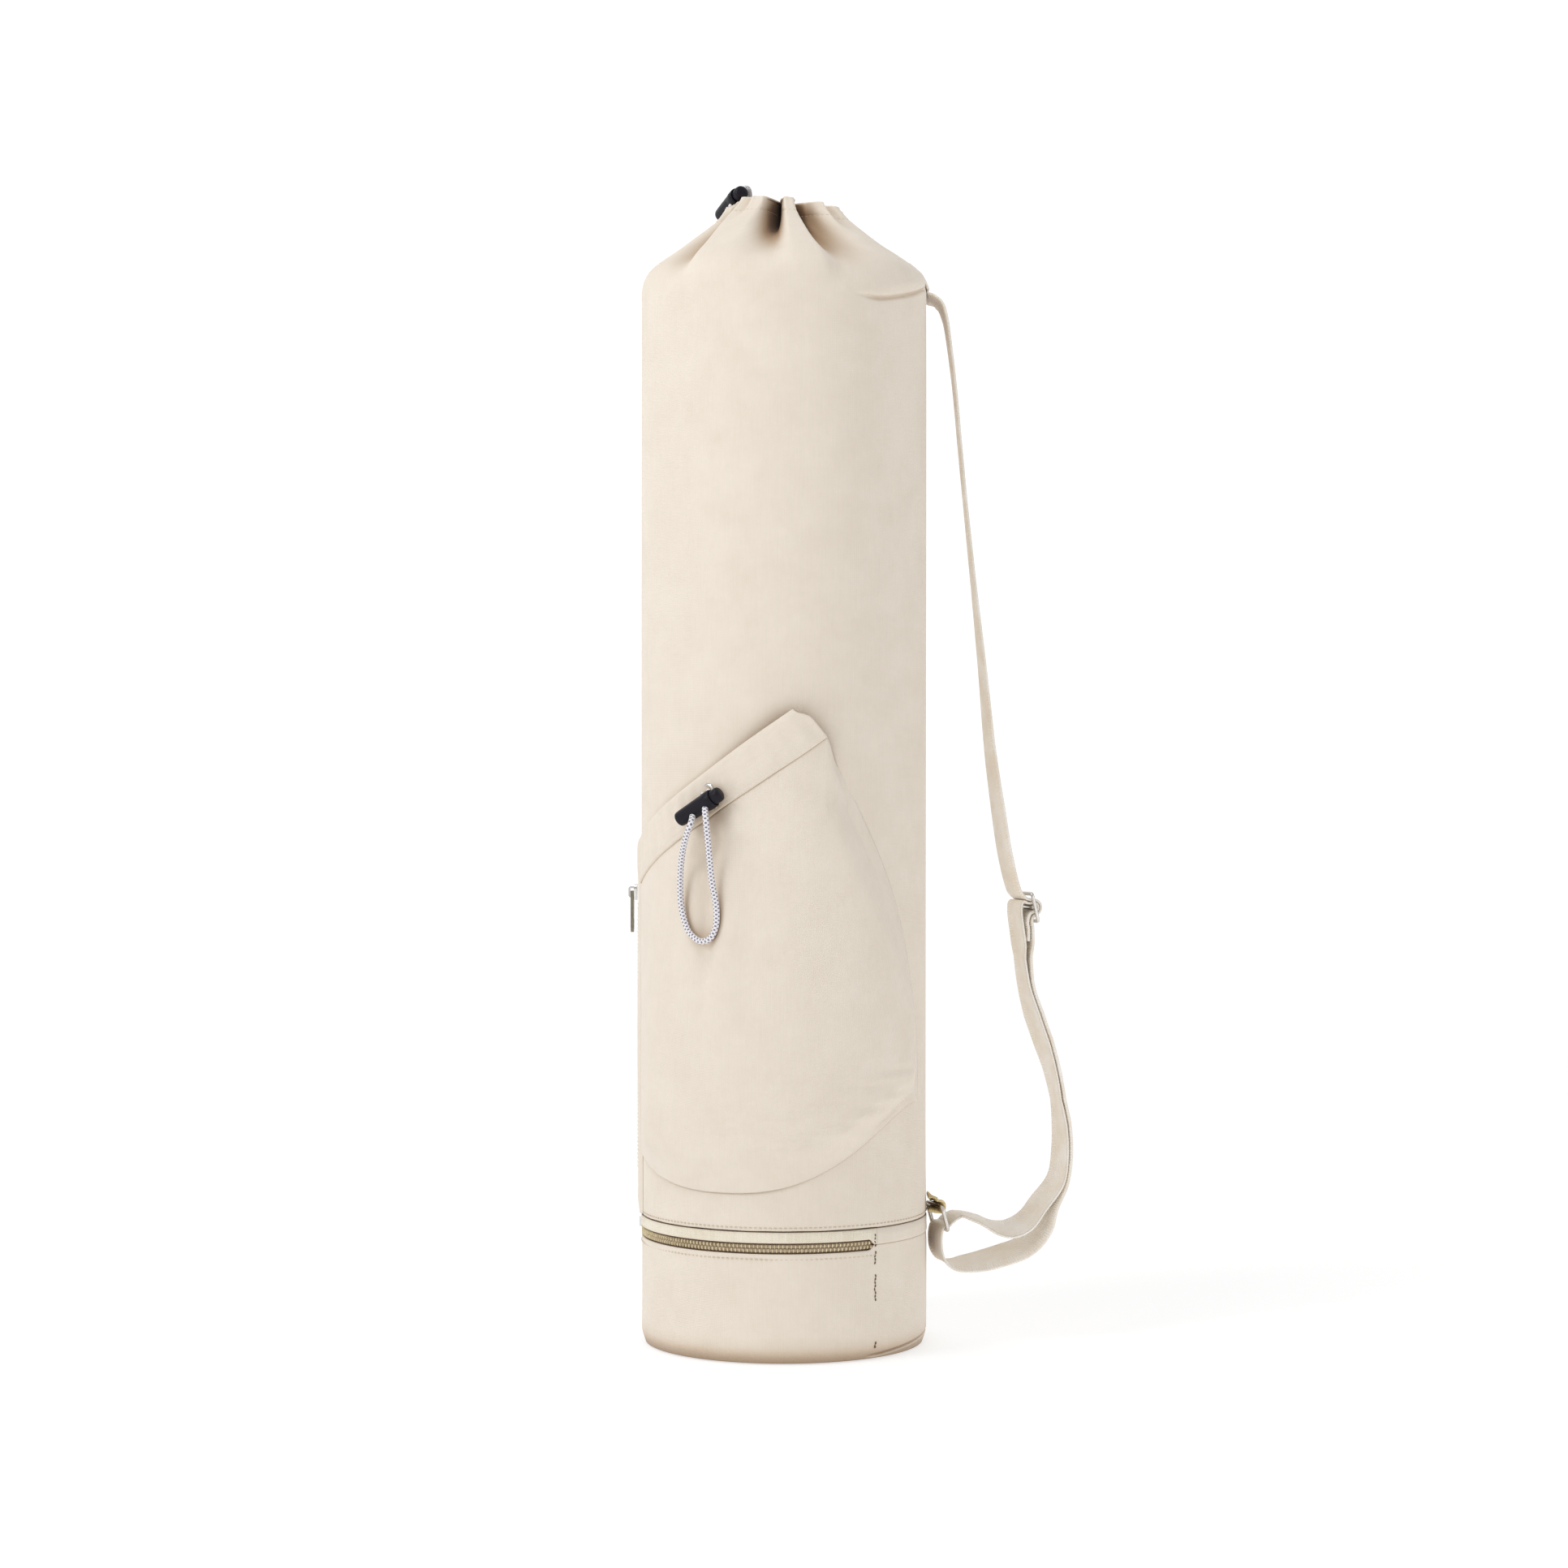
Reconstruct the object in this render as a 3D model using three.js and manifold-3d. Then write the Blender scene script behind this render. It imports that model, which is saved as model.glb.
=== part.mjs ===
// A yoga mat bag: an upright canvas tube with a gathered mouth, a slanted front pocket,
// a zipped base compartment and a webbing shoulder strap.
// Millimetres, +Z up. The origin is the centre of the base's underside.
// The front is -Y and the strap is on the +X side.
import * as THREE from 'three';
import { mergeVertices } from 'three/addons/utils/BufferGeometryUtils.js';
import Module from 'manifold-3d';

// Shared clearances and cloth
const GAP = 0.3;
const CANVAS = 1.6;
const POCKET_CLOTH = 1.2;

// Body and base
const BODY_RADIUS = 88;
const SEAM_HEIGHT = 79;
const CROWN_FOOT = 640;
const CROWN_RISE = 60;
const MOUTH_RADIUS = 36;
const CASING_THICK = 3.2;
const CASING_WIDTH = 16;
const BASE_CORNER = 10;
const BASE_EDGE = 4.5;
const BASE_THICK = 2;
const FLOOR_THICK = 1.6;
const BODY_STEPS = 76;
const BASE_STEPS = 48;
const BASE_ZIP_STEPS = 28;
const BASE_SHOULDER = 2.2;
const BASE_EDGE_IN = 1;

// Crown folds
const RIM_TILT = 2.5;
const RIM_DIP = 8;
const RIM_DIP_AT = -103;
const RIM_DIP_WIDTH = 46;
const FOLD_DEPTH = 22;

// Zips
const ZIP_UNDER_SEAM = 10;
const ZIP_HEIGHT = SEAM_HEIGHT - ZIP_UNDER_SEAM;
const ZIP_CHAIN = 5.6;
const ZIP_TAPE = 14;
const ZIP_TAPE_THICK = 0.6;
const ZIP_PROUD = 0.5;
const ZIP_SHOULDER = 0.6;
const ZIP_MARGIN = 0.4;
const BASE_ZIP_START = -128;
const BASE_ZIP_END = 38;
const BASE_SLIDER_ALONG = 5;
const SLIDER_LENGTH = 10;
const SLIDER_WIDTH = 8;
const SLIDER_THICK = 1.8;
const PULL_THICK = 1.8;
const BRIDGE_WIDTH = 1.8;
const BRIDGE_LENGTH = 7;
const BRIDGE_BAR = 1.2;
const BRIDGE_FOOT = 0.4;
const BRIDGE_CHAMFER = 1;
const BRIDGE_OPENING = PULL_THICK + 2 * GAP;

// Bottle pocket
const POCKET_LEFT = -121;
const POCKET_RIGHT = 104;
const POCKET_CORNER = 23;
const POCKET_CORNER_HEIGHT = 372;
const POCKET_DROP = 193;
const POCKET_FULL = 10;
const HEM_WIDTH = 23;
const HEM_STEEP = 0.78;
const HEM_EASE = 0.213;
const HEM_THICK = 4.4;
const HEM_END_THICK = 2.2;
const HEM_STAND = 8;
const SEAM_LOW = 101.5;
const SEAM_LOW_AT = -42;
const SEAM_RISE = 50;

// Side pocket: arc lengths back from the bottle pocket's left edge
const SIDE_AFTER_POCKET = 2.6;
const SIDE_WIDTH = 131.3;
const SIDE_ZIP_INSET = 19.24;
const SIDE_OVER_SEAM = 1;
const SIDE_TOP = 299;
const SIDE_FULL = 1;
const SIDE_ZIP_TOP = 283;
const SIDE_ZIP_LOW = 104;
const PULL_LENGTH = 25;
const PULL_WIDTH = 6;
const PULL_EYE = 2.2;
const PULL_EYE_TOP = 8;
const PULL_ROUND = 3;

// Cords and locks
const CORD = 3.6;
const LOCK_LENGTH = 27.7;
const LOCK_SMALL = 4.6;
const LOCK_BIG = 5.6;
const LOCK_BORE = 3.4;
const LOCK_CUP = 4.8;
const BUTTON_PROUD = 6;
const BUTTON_RADIUS = 4.5;
const BUTTON_TRAVEL = 3;
const FIRST_HOLE = 11.5;
const HOLE_SPACING = 10;
const HOLE_RADIUS = CORD / 2 + 0.5;
const EYELET_RADIUS = 4.6;
const EYELET_HOLE = 2.9;
const EYELET_THICK = 0.8;
const EYELET_OFF = 0.4;
const EYELET_ALONG = 0.56;
const EYELET_UP = 12.65;

// Where each lock sits: its small end, the way its barrel runs and the way its cords come out.
const POCKET_LOCK = {
  smallEnd: [-62.8, -81.7, 322.5],
  along: [0.763, -0.428, 0.485],
  cordsOut: [-0.008, -0.756, -0.655],
};
const TOP_LOCK = {
  smallEnd: [-39.5, 15, 698.5],
  along: [0.418, -0.858, 0.3],
  cordsOut: [0.417, 0.473, 0.776],
};

// Cord points, in order from the eyelet, through the lock, round the hanging loop and back.
const POCKET_CORD = [
  [-47.4, -83.4, 338.2], [-48.2, -84.1, 336.7], [-49.8, -85.0, 334.1], [-51.6, -86.3, 331.0],
  [-53.5, -87.2, 328.2], [-54.1, -89.0, 326.0], [-54.1, -91.5, 323.9], [-55.2, -94.5, 320.0],
  [-57.6, -91.6, 313.5], [-59.8, -86.3, 305.0], [-61.2, -81.1, 294.5], [-61.7, -77.9, 283.0],
  [-61.2, -77.3, 273.1], [-59.3, -79.0, 263.5], [-55.8, -82.0, 255.5], [-49.0, -86.5, 250.9],
  [-43.6, -89.3, 252.9], [-40.7, -90.7, 258.3], [-39.7, -91.3, 265.0], [-40.2, -91.6, 273.6],
  [-42.2, -91.8, 284.6], [-43.4, -93.2, 294.2], [-44.3, -95.9, 305.2], [-45.2, -98.3, 315.2],
  [-45.9, -99.1, 322.5], [-46.5, -96.0, 328.5], [-46.4, -93.5, 330.7], [-46.4, -90.9, 332.9],
  [-46.3, -88.4, 335.2], [-45.8, -87.0, 336.9], [-44.8, -86.0, 338.9], [-44.3, -85.2, 340.2],
];
// The same for the drawcord of the mouth, which hangs down the back on the left.
const TOP_CORD = [
  [-34.4, -3.4, 699.3], [-34.4, -2.2, 699.8], [-34.2, 0.7, 701.0], [-34.2, 4.6, 702.5],
  [-33.4, 6.6, 704.3], [-32.4, 7.7, 706.1], [-30.6, 10.2, 709.0], [-29.1, 13.8, 711.2],
  [-28.1, 18.4, 711.6], [-27.9, 23.1, 709.3], [-29.3, 27.5, 704.5], [-32.7, 32.1, 698.2],
  [-38.6, 37.2, 691.4], [-46.6, 42.6, 683.8], [-55.0, 48.2, 675.2], [-62.4, 53.0, 665.8],
  [-67.6, 56.2, 656.8], [-70.3, 57.4, 646.0], [-70.7, 57.3, 634.0], [-70.7, 57.3, 602.0],
  [-70.7, 57.3, 570.0], [-69.7, 58.3, 565.7], [-67.2, 61.0, 563.1], [-64.2, 64.2, 563.1],
  [-61.7, 66.9, 565.7], [-60.7, 67.9, 570.0], [-60.7, 67.9, 602.0], [-60.7, 67.9, 634.0],
  [-60.3, 68.0, 646.0], [-58.0, 66.4, 656.8], [-53.6, 62.2, 665.8], [-47.4, 56.2, 675.2],
  [-40.4, 49.8, 683.4], [-33.6, 43.4, 690.8], [-27.8, 37.0, 697.6], [-23.9, 30.6, 703.6],
  [-22.0, 24.0, 708.6], [-21.6, 17.2, 712.4], [-22.2, 11.0, 714.4], [-23.6, 5.9, 714.3],
  [-25.6, 2.2, 712.6], [-28.1, -0.7, 709.4], [-29.7, -2.5, 706.5], [-31.8, -5.0, 702.5],
  [-32.5, -6.1, 701.2], [-32.7, -7.0, 700.5],
];

// Strap
const WEB_WIDTH = 25;
const WEB_THICK = 1.6;
const BAR = 1.3;
const STRAP_ANGLE = 100;
const STRAP_STEPS = 140;
const LAYER_GAP = 1;
const SLIDER_AT_X = 150.6;
const SLIDER_AT_Z = 268;
const SLIDER_SPAN = 17.4;
const SLIDER_RIM = 2.4;
const SLIDER_ROUND = 2.5;
const SLIDER_SIDE_GAP = 0.6;
const SLIDER_PLATE = 2;
const SLIDER_LEAN = 13.3;
const SLIDER_TURN = 16;
const RING_HEIGHT = 14.9;
const RING_LEAN = 15.5;
const RING_TURN = 16;
const RING_OUT = 5.4;
const RING_OVER_SEAM = 4.6;
const LOOP_REACH = 75.2;
const RING_SIDE_GAP = 1;
const RING_ROUND = 3;
const SHOULDER_OUT = 1.2;
const SHOULDER_RISE = 8.3;
const STRAP_LIE = 0.5;
const TAB_SEAM_OUT = 0.7;
const TAB_RISE = 5.9;

const RAD = Math.PI / 180;
const wasm = await Module();
wasm.setup();

const clamp = (value, low, high) => Math.min(Math.max(value, low), high);
const mix = (a, b, t) => a + (b - a) * t;

// Eases from 0 to 1 as the value goes from 0 to 1, and stays flat beyond both.
function ease(value) {
  const t = clamp(value, 0, 1);
  return t * t * (3 - 2 * t);
}

// Smooth value of a table's column at a given key, by Catmull-Rom between its rows.
function readTable(rows, key, column, at) {
  let i = 0;
  while (i < rows.length - 2 && rows[i + 1][key] < at) i += 1;
  const row = (k) => rows[clamp(k, 0, rows.length - 1)];
  const span = row(i + 1)[key] - row(i)[key];
  const t = clamp((at - row(i)[key]) / span, 0, 1);
  const [a, b, c, d] = [row(i - 1)[column], row(i)[column], row(i + 1)[column], row(i + 2)[column]];
  return 0.5 * (2 * b + (c - a) * t + (2 * a - 5 * b + 4 * c - d) * t * t + (3 * b - a - 3 * c + d) * t ** 3);
}

// The angle in degrees that an arc length on the body's wall takes up.
const toAngle = (across) => across / BODY_RADIUS / RAD;

// The side pocket's front edge and its zip, which follow the bottle pocket's left edge.
const sideFront = toAngle(POCKET_LEFT - SIDE_AFTER_POCKET);
const sideZipAngle = sideFront - toAngle(SIDE_ZIP_INSET);

// A point at an angle in degrees round the bag, 0 at the front and 90 at the strap side.
function around(angle, radius, height) {
  return new THREE.Vector3(radius * Math.sin(angle * RAD), -radius * Math.cos(angle * RAD), height);
}

// Turns a closed geometry's faces outwards, by the sign of the volume that they enclose.
function facingOut(geometry) {
  const p = geometry.attributes.position;
  const index = geometry.index.array;
  const [a, b, c] = [new THREE.Vector3(), new THREE.Vector3(), new THREE.Vector3()];
  let volume = 0;
  for (let i = 0; i < index.length; i += 3) {
    a.fromBufferAttribute(p, index[i]);
    b.fromBufferAttribute(p, index[i + 1]);
    c.fromBufferAttribute(p, index[i + 2]);
    volume += a.dot(b.cross(c));
  }
  if (volume < 0) {
    for (let i = 0; i < index.length; i += 3) [index[i], index[i + 1]] = [index[i + 1], index[i]];
  }
  return geometry;
}

// Joins a row of section loops into one solid. A closed row runs round to its start. An open one
// gets a ladder of faces across each end section, between its first half and its second.
function loft(sections, closed = false) {
  const count = sections[0].length;
  const index = [];
  const rows = closed ? sections.length : sections.length - 1;
  for (let i = 0; i < rows; i += 1) {
    const a = i * count;
    const b = ((i + 1) % sections.length) * count;
    for (let j = 0; j < count; j += 1) {
      const k = (j + 1) % count;
      index.push(a + j, b + j, b + k, a + j, b + k, a + k);
    }
  }
  if (!closed) {
    const last = (sections.length - 1) * count;
    for (let j = 0; j < count / 2 - 1; j += 1) {
      const k = count - 1 - j;
      index.push(j, j + 1, k - 1, j, k - 1, k);
      index.push(last + j, last + k - 1, last + j + 1, last + j, last + k, last + k - 1);
    }
  }
  const geometry = new THREE.BufferGeometry();
  const positions = sections.flat().flatMap((v) => [v.x, v.y, v.z]);
  geometry.setAttribute('position', new THREE.Float32BufferAttribute(positions, 3));
  geometry.setIndex(index);
  return facingOut(geometry);
}

function toSolid(geometry) {
  const bare = geometry.clone();
  bare.deleteAttribute('normal');
  bare.deleteAttribute('uv');
  const merged = mergeVertices(bare, 1e-4);
  const vertProperties = new Float32Array(merged.attributes.position.array);
  const triVerts = new Uint32Array(merged.index.array);
  return new wasm.Manifold(new wasm.Mesh({ numProp: 3, vertProperties, triVerts }));
}

function toGeometry(solid) {
  const mesh = solid.getMesh();
  const geometry = new THREE.BufferGeometry();
  geometry.setAttribute('position', new THREE.BufferAttribute(new Float32Array(mesh.vertProperties), 3));
  geometry.setIndex(new THREE.BufferAttribute(new Uint32Array(mesh.triVerts), 1));
  return geometry;
}

const cut = (body, ...tools) => toGeometry(
  tools.reduce((left, tool) => left.subtract(toSolid(tool)), toSolid(body)),
);
const join = (body, ...more) => toGeometry(
  more.reduce((sum, extra) => sum.add(toSolid(extra)), toSolid(body)),
);

function lathe(profile, segments = 48) {
  const points = profile.map(([radius, height]) => new THREE.Vector2(radius, height));
  const turned = new THREE.LatheGeometry(points, segments).rotateX(Math.PI / 2);
  turned.deleteAttribute('normal');
  turned.deleteAttribute('uv');
  return facingOut(mergeVertices(turned, 1e-4));
}

// The crown's envelope over the crests of its folds: rise and closing are shares of the crown's
// height and of the way from the body's radius to the mouth's, along the cloth from 0 to 1.
const CROWN_PROFILE = [
  { along: 0, rise: 0, closing: 0 },
  { along: 0.1, rise: 0.14, closing: 0 },
  { along: 0.2, rise: 0.275, closing: 0.045 },
  { along: 0.3, rise: 0.385, closing: 0.15 },
  { along: 0.45, rise: 0.54, closing: 0.385 },
  { along: 0.6, rise: 0.70, closing: 0.615 },
  { along: 0.75, rise: 0.835, closing: 0.81 },
  { along: 0.88, rise: 0.93, closing: 0.93 },
  { along: 1, rise: 1, closing: 1 },
];

// Each gathered valley: its angle at the rim and at its foot, its depth as a share of the fold
// depth, its width in degrees to the left and right at the rim, how far along it starts, and the
// share of its depth that is left at the rim.
const FOLDS = [
  { rim: -66, foot: -50, depth: 0.75, left: 17, right: 11, start: 0, atRim: 0.3 },
  { rim: -38, foot: -38, depth: 0.18, left: 8, right: 8, start: 0.6, atRim: 1 },
  { rim: -8, foot: -7, depth: 0.95, left: 12, right: 9, start: 0, atRim: 0.9 },
  { rim: 20, foot: 27, depth: 0.85, left: 7, right: 19, start: 0.08, atRim: 0.85 },
  { rim: 52, foot: 48, depth: 0.35, left: 10, right: 12, start: 0.5, atRim: 1 },
  { rim: 80, foot: 72, depth: 0.5, left: 12, right: 12, start: 0.4, atRim: 1 },
  { rim: 116, foot: 128, depth: 0.8, left: 14, right: 10, start: 0.2, atRim: 0.9 },
  { rim: 148, foot: 150, depth: 0.7, left: 11, right: 13, start: 0.12, atRim: 0.9 },
  { rim: 182, foot: 184, depth: 0.8, left: 14, right: 12, start: 0.1, atRim: 0.9 },
  { rim: 220, foot: 208, depth: 0.5, left: 10, right: 10, start: 0.35, atRim: 1 },
  { rim: 258, foot: 260, depth: 0.6, left: 14, right: 14, start: 0.45, atRim: 0.6 },
];

const turnTo = (angle) => ((angle % 360) + 540) % 360 - 180;

// How deep the folds press the cloth in at an angle and a way along the crown.
function foldDepth(angle, along) {
  let depth = 0;
  for (const fold of FOLDS) {
    const centre = mix(fold.foot, fold.rim, ease(along));
    const off = turnTo(angle - centre);
    const spread = mix(1.35, 1, along);
    const width = (off < 0 ? fold.left : fold.right) * spread;
    const across = Math.abs(off) < width ? 0.5 + 0.5 * Math.cos(Math.PI * off / width) : 0;
    const faded = mix(1, fold.atRim, ease((along - 0.75) / 0.25));
    const grown = ease((along - fold.start) / (0.8 - fold.start)) * faded;
    depth += FOLD_DEPTH * fold.depth * across * grown;
  }
  return depth;
}

// Outer cloth radius and height at an angle and a way along the crown.
function crownRadius(angle, along) {
  const closing = readTable(CROWN_PROFILE, 'along', 'closing', along);
  const envelope = mix(BODY_RADIUS, MOUTH_RADIUS, closing);
  return envelope - foldDepth(angle, along);
}

function crownHeight(angle, along) {
  const rise = readTable(CROWN_PROFILE, 'along', 'rise', along);
  const off = clamp(turnTo(angle - RIM_DIP_AT) / RIM_DIP_WIDTH, -1, 1);
  const lean = -RIM_TILT * Math.sin(angle * RAD) - RIM_DIP * (0.5 + 0.5 * Math.cos(Math.PI * off));
  return CROWN_FOOT + CROWN_RISE * rise + lean * ease(along);
}

// A point of the crown's cloth, a depth below its outer face.
function crownPoint(angle, along, depth) {
  const step = 1.5;
  const radius = crownRadius(angle, along);
  const across = crownRadius(angle + step, along) - crownRadius(angle - step, along);
  const slope = across / (2 * step * RAD * radius);
  const before = Math.max(along - 0.05, 0);
  const after = Math.min(along + 0.05, 1);
  const at = (column, share) => readTable(CROWN_PROFILE, 'along', column, share);
  const change = (column) => at(column, after) - at(column, before);
  const tip = Math.atan2(change('closing') * (BODY_RADIUS - MOUTH_RADIUS), change('rise') * CROWN_RISE);
  const reach = depth * Math.min(Math.sqrt(1 + slope * slope), 2.2);
  return around(angle, radius - reach * Math.cos(tip), crownHeight(angle, along) - reach * Math.sin(tip));
}

// The tube and its gathered crown, as one wall whose rim is turned in as a casing.
function bagBody() {
  const crownSteps = [0, 0.1, 0.19, 0.28, 0.4, 0.52, 0.64, 0.76, 0.88, 1];
  const casingShare = CASING_WIDTH / Math.hypot(BODY_RADIUS - MOUTH_RADIUS, CROWN_RISE);
  const sections = [];
  for (let i = 0; i < BODY_STEPS; i += 1) {
    const angle = 360 * i / BODY_STEPS - 180;
    const outer = [around(angle, BODY_RADIUS, SEAM_HEIGHT + GAP / 2)];
    const inner = [around(angle, BODY_RADIUS - CANVAS, SEAM_HEIGHT + GAP / 2)];
    for (const along of crownSteps) {
      outer.push(crownPoint(angle, along, 0));
      const thick = mix(CANVAS, CASING_THICK, ease((along - (1 - casingShare)) / 0.06));
      inner.push(crownPoint(angle, along, thick));
    }
    sections.push([...outer, ...inner.reverse()]);
  }
  return loft(sections, true);
}

// A round cloth divider across the seam above the base compartment.
function compartmentFloor() {
  const radius = BODY_RADIUS - CANVAS - GAP;
  const top = SEAM_HEIGHT - GAP;
  return lathe([[0, top - FLOOR_THICK], [radius, top - FLOOR_THICK], [radius, top], [0, top]]);
}

// A band round the bag between two angles, from profile points of radius and height.
function band(start, end, steps, profile) {
  const sections = [];
  for (let i = 0; i <= steps; i += 1) {
    const angle = mix(start, end, i / steps);
    sections.push(profile.map(([radius, height]) => around(angle, radius, height)));
  }
  return loft(sections);
}

function baseWall() {
  const top = SEAM_HEIGHT - GAP / 2;
  const low = BASE_EDGE + GAP;
  const outer = [[BODY_RADIUS - BASE_SHOULDER, low],
    [BODY_RADIUS - BASE_SHOULDER / 4, (low + BASE_CORNER) / 2],
    [BODY_RADIUS, BASE_CORNER], [BODY_RADIUS, top]];
  const inner = outer.map(([radius, height]) => [radius - CANVAS, height]).reverse();
  const wall = lathe([...outer, ...inner, outer[0]], BASE_STEPS);
  const half = ZIP_CHAIN / 2 + GAP;
  const [outside, inside] = [BODY_RADIUS + CANVAS, BODY_RADIUS - 2 * CANVAS];
  const slot = [[outside, ZIP_HEIGHT - half], [outside, ZIP_HEIGHT + half], [inside, ZIP_HEIGHT + half],
    [inside, ZIP_HEIGHT - half]];
  return cut(wall, band(BASE_ZIP_START, BASE_ZIP_END, BASE_ZIP_STEPS, slot));
}

// The round bottom: flat where it stands, with its edge turned up to the wall.
function basePanel() {
  const edge = BODY_RADIUS - BASE_EDGE_IN;
  const flat = edge - BASE_CORNER + BASE_EDGE / 2;
  const outer = [[0, 0], [flat, 0], [edge - BASE_EDGE / 2, BASE_EDGE / 5],
    [edge - BASE_EDGE / 8, BASE_EDGE / 2],
    [edge, BASE_EDGE]];
  const inner = [[edge - BASE_THICK, BASE_EDGE], [edge - 1.7 * BASE_THICK, 1.5 * BASE_THICK],
    [flat - BASE_THICK / 2, BASE_THICK], [0, BASE_THICK]];
  return lathe([...outer, ...inner], BASE_STEPS);
}

// Zip tapes behind a wall's slot, with the closed chain standing in the slot.
function zipProfile(wallInner, wallOuter) {
  const tapeOuter = wallInner - GAP;
  const tapeInner = tapeOuter - ZIP_TAPE_THICK;
  const proud = wallOuter + ZIP_PROUD;
  const tape = ZIP_TAPE / 2;
  const chain = ZIP_CHAIN / 2;
  const top = chain - ZIP_SHOULDER;
  return [[tapeOuter, -tape], [tapeOuter, -chain], [proud, -top], [proud, top], [tapeOuter, chain],
    [tapeOuter, tape], [tapeInner, tape], [tapeInner, chain], [tapeInner, top], [tapeInner, -top],
    [tapeInner, -chain], [tapeInner, -tape]];
}

function baseZip() {
  const margin = toAngle(ZIP_MARGIN);
  const profile = zipProfile(BODY_RADIUS - CANVAS, BODY_RADIUS)
    .map(([radius, up]) => [radius, up + ZIP_HEIGHT]);
  return band(BASE_ZIP_START + margin, BASE_ZIP_END - margin, BASE_ZIP_STEPS, profile);
}

// A zip slider's body, lying in its own plane with its travel along Y.
function zipSlider() {
  const outline = new THREE.Shape();
  const w = SLIDER_WIDTH / 2;
  const l = SLIDER_LENGTH / 2;
  outline.moveTo(-w, l * 0.4);
  outline.lineTo(-w * 0.55, -l);
  outline.lineTo(w * 0.55, -l);
  outline.lineTo(w, l * 0.4);
  outline.quadraticCurveTo(w, l, 0, l);
  outline.quadraticCurveTo(-w, l, -w, l * 0.4);
  return new THREE.ExtrudeGeometry(outline, { depth: SLIDER_THICK, bevelEnabled: false, curveSegments: 4 });
}

// The arch on a slider that its pull swings on, with the travel along Y and its height along Z.
function zipBridge() {
  const outline = new THREE.Shape();
  const l = BRIDGE_LENGTH / 2;
  const inner = l - BRIDGE_BAR;
  const top = BRIDGE_OPENING + BRIDGE_BAR;
  outline.moveTo(-l, -BRIDGE_FOOT);
  outline.lineTo(-l, top - BRIDGE_CHAMFER);
  outline.lineTo(-l + BRIDGE_CHAMFER, top);
  outline.lineTo(l - BRIDGE_CHAMFER, top);
  outline.lineTo(l, top - BRIDGE_CHAMFER);
  outline.lineTo(l, -BRIDGE_FOOT);
  outline.lineTo(inner, -BRIDGE_FOOT);
  outline.lineTo(inner, BRIDGE_OPENING);
  outline.lineTo(-inner, BRIDGE_OPENING);
  outline.lineTo(-inner, -BRIDGE_FOOT);
  const arch = new THREE.ExtrudeGeometry(outline, { depth: BRIDGE_WIDTH, bevelEnabled: false });
  const [x, y, z] = [new THREE.Vector3(1, 0, 0), new THREE.Vector3(0, 1, 0), new THREE.Vector3(0, 0, 1)];
  return arch.translate(0, 0, -BRIDGE_WIDTH / 2).applyMatrix4(new THREE.Matrix4().makeBasis(y, z, x));
}

function slider() {
  return join(zipSlider(), zipBridge().translate(0, 0, SLIDER_THICK));
}

// A zip pull in its hanging place: a flat bar with a window round the bridge and an eye at its foot.
function zipPull() {
  const half = PULL_WIDTH / 2;
  const pin = BRIDGE_OPENING / 2 - 1.5 * GAP;
  const reach = Math.hypot(BRIDGE_LENGTH / 2, BRIDGE_OPENING / 2 + BRIDGE_BAR) + GAP;
  const outline = new THREE.Shape();
  outline.moveTo(-half, pin);
  outline.lineTo(-half * 0.8, PULL_ROUND - PULL_LENGTH);
  outline.quadraticCurveTo(-half * 0.7, -PULL_LENGTH, 0, -PULL_LENGTH);
  outline.quadraticCurveTo(half * 0.7, -PULL_LENGTH, half * 0.8, PULL_ROUND - PULL_LENGTH);
  outline.lineTo(half, pin);
  const side = BRIDGE_WIDTH / 2 + GAP;
  outline.holes.push(rectanglePath(-side, side, -reach, -pin));
  const [low, high] = [PULL_EYE - PULL_LENGTH, PULL_EYE_TOP - PULL_LENGTH];
  outline.holes.push(rectanglePath(-PULL_EYE / 2, PULL_EYE / 2, low, high));
  const bar = new THREE.ExtrudeGeometry(outline, { depth: PULL_THICK, bevelEnabled: false, curveSegments: 4 });
  return bar.translate(0, 0, -PULL_THICK / 2);
}

function rectanglePath(left, right, low, high) {
  const path = new THREE.Path();
  path.moveTo(left, low);
  path.lineTo(right, low);
  path.lineTo(right, high);
  path.lineTo(left, high);
  path.closePath();
  return path;
}

// Pocket outline on the unrolled wall: across is the arc length from the front, to the right.
const onWall = (across, height, stand) => around(toAngle(across), BODY_RADIUS + GAP + stand, height);

function stitchHeight(across) {
  const back = POCKET_CORNER - across;
  const span = POCKET_CORNER - POCKET_LEFT;
  return POCKET_CORNER_HEIGHT - HEM_STEEP * back * (1 - HEM_EASE * back / span);
}

function pocketTop(across) {
  if (across <= POCKET_CORNER) return stitchHeight(across);
  const share = (across - POCKET_CORNER) / (POCKET_RIGHT - POCKET_CORNER);
  return POCKET_CORNER_HEIGHT - POCKET_DROP * (0.75 * share + 0.25 * share ** 6);
}

function pocketLow(across) {
  if (across < SEAM_LOW_AT) return SEAM_LOW + 0.17 * SEAM_RISE * ((SEAM_LOW_AT - across) / 55) ** 2;
  const share = (across - SEAM_LOW_AT) / (POCKET_RIGHT - 8 - SEAM_LOW_AT);
  return SEAM_LOW + SEAM_RISE * ease(Math.min(share, 1) ** 1.5);
}

// How far the pocket's mouth line stands off the wall: drawn in at the lock, open to its right.
const MOUTH_STAND = [
  { across: 0, stand: 0 },
  { across: 0.25, stand: 0.14 },
  { across: 0.52, stand: 0.25 },
  { across: 0.8, stand: 0.7 },
  { across: 0.92, stand: 0.85 },
  { across: 1, stand: 0.8 },
];

function mouthStand(across) {
  const share = (across - POCKET_LEFT) / (POCKET_CORNER - POCKET_LEFT);
  return POCKET_FULL * readTable(MOUTH_STAND, 'across', 'stand', clamp(share, 0, 1));
}

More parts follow.
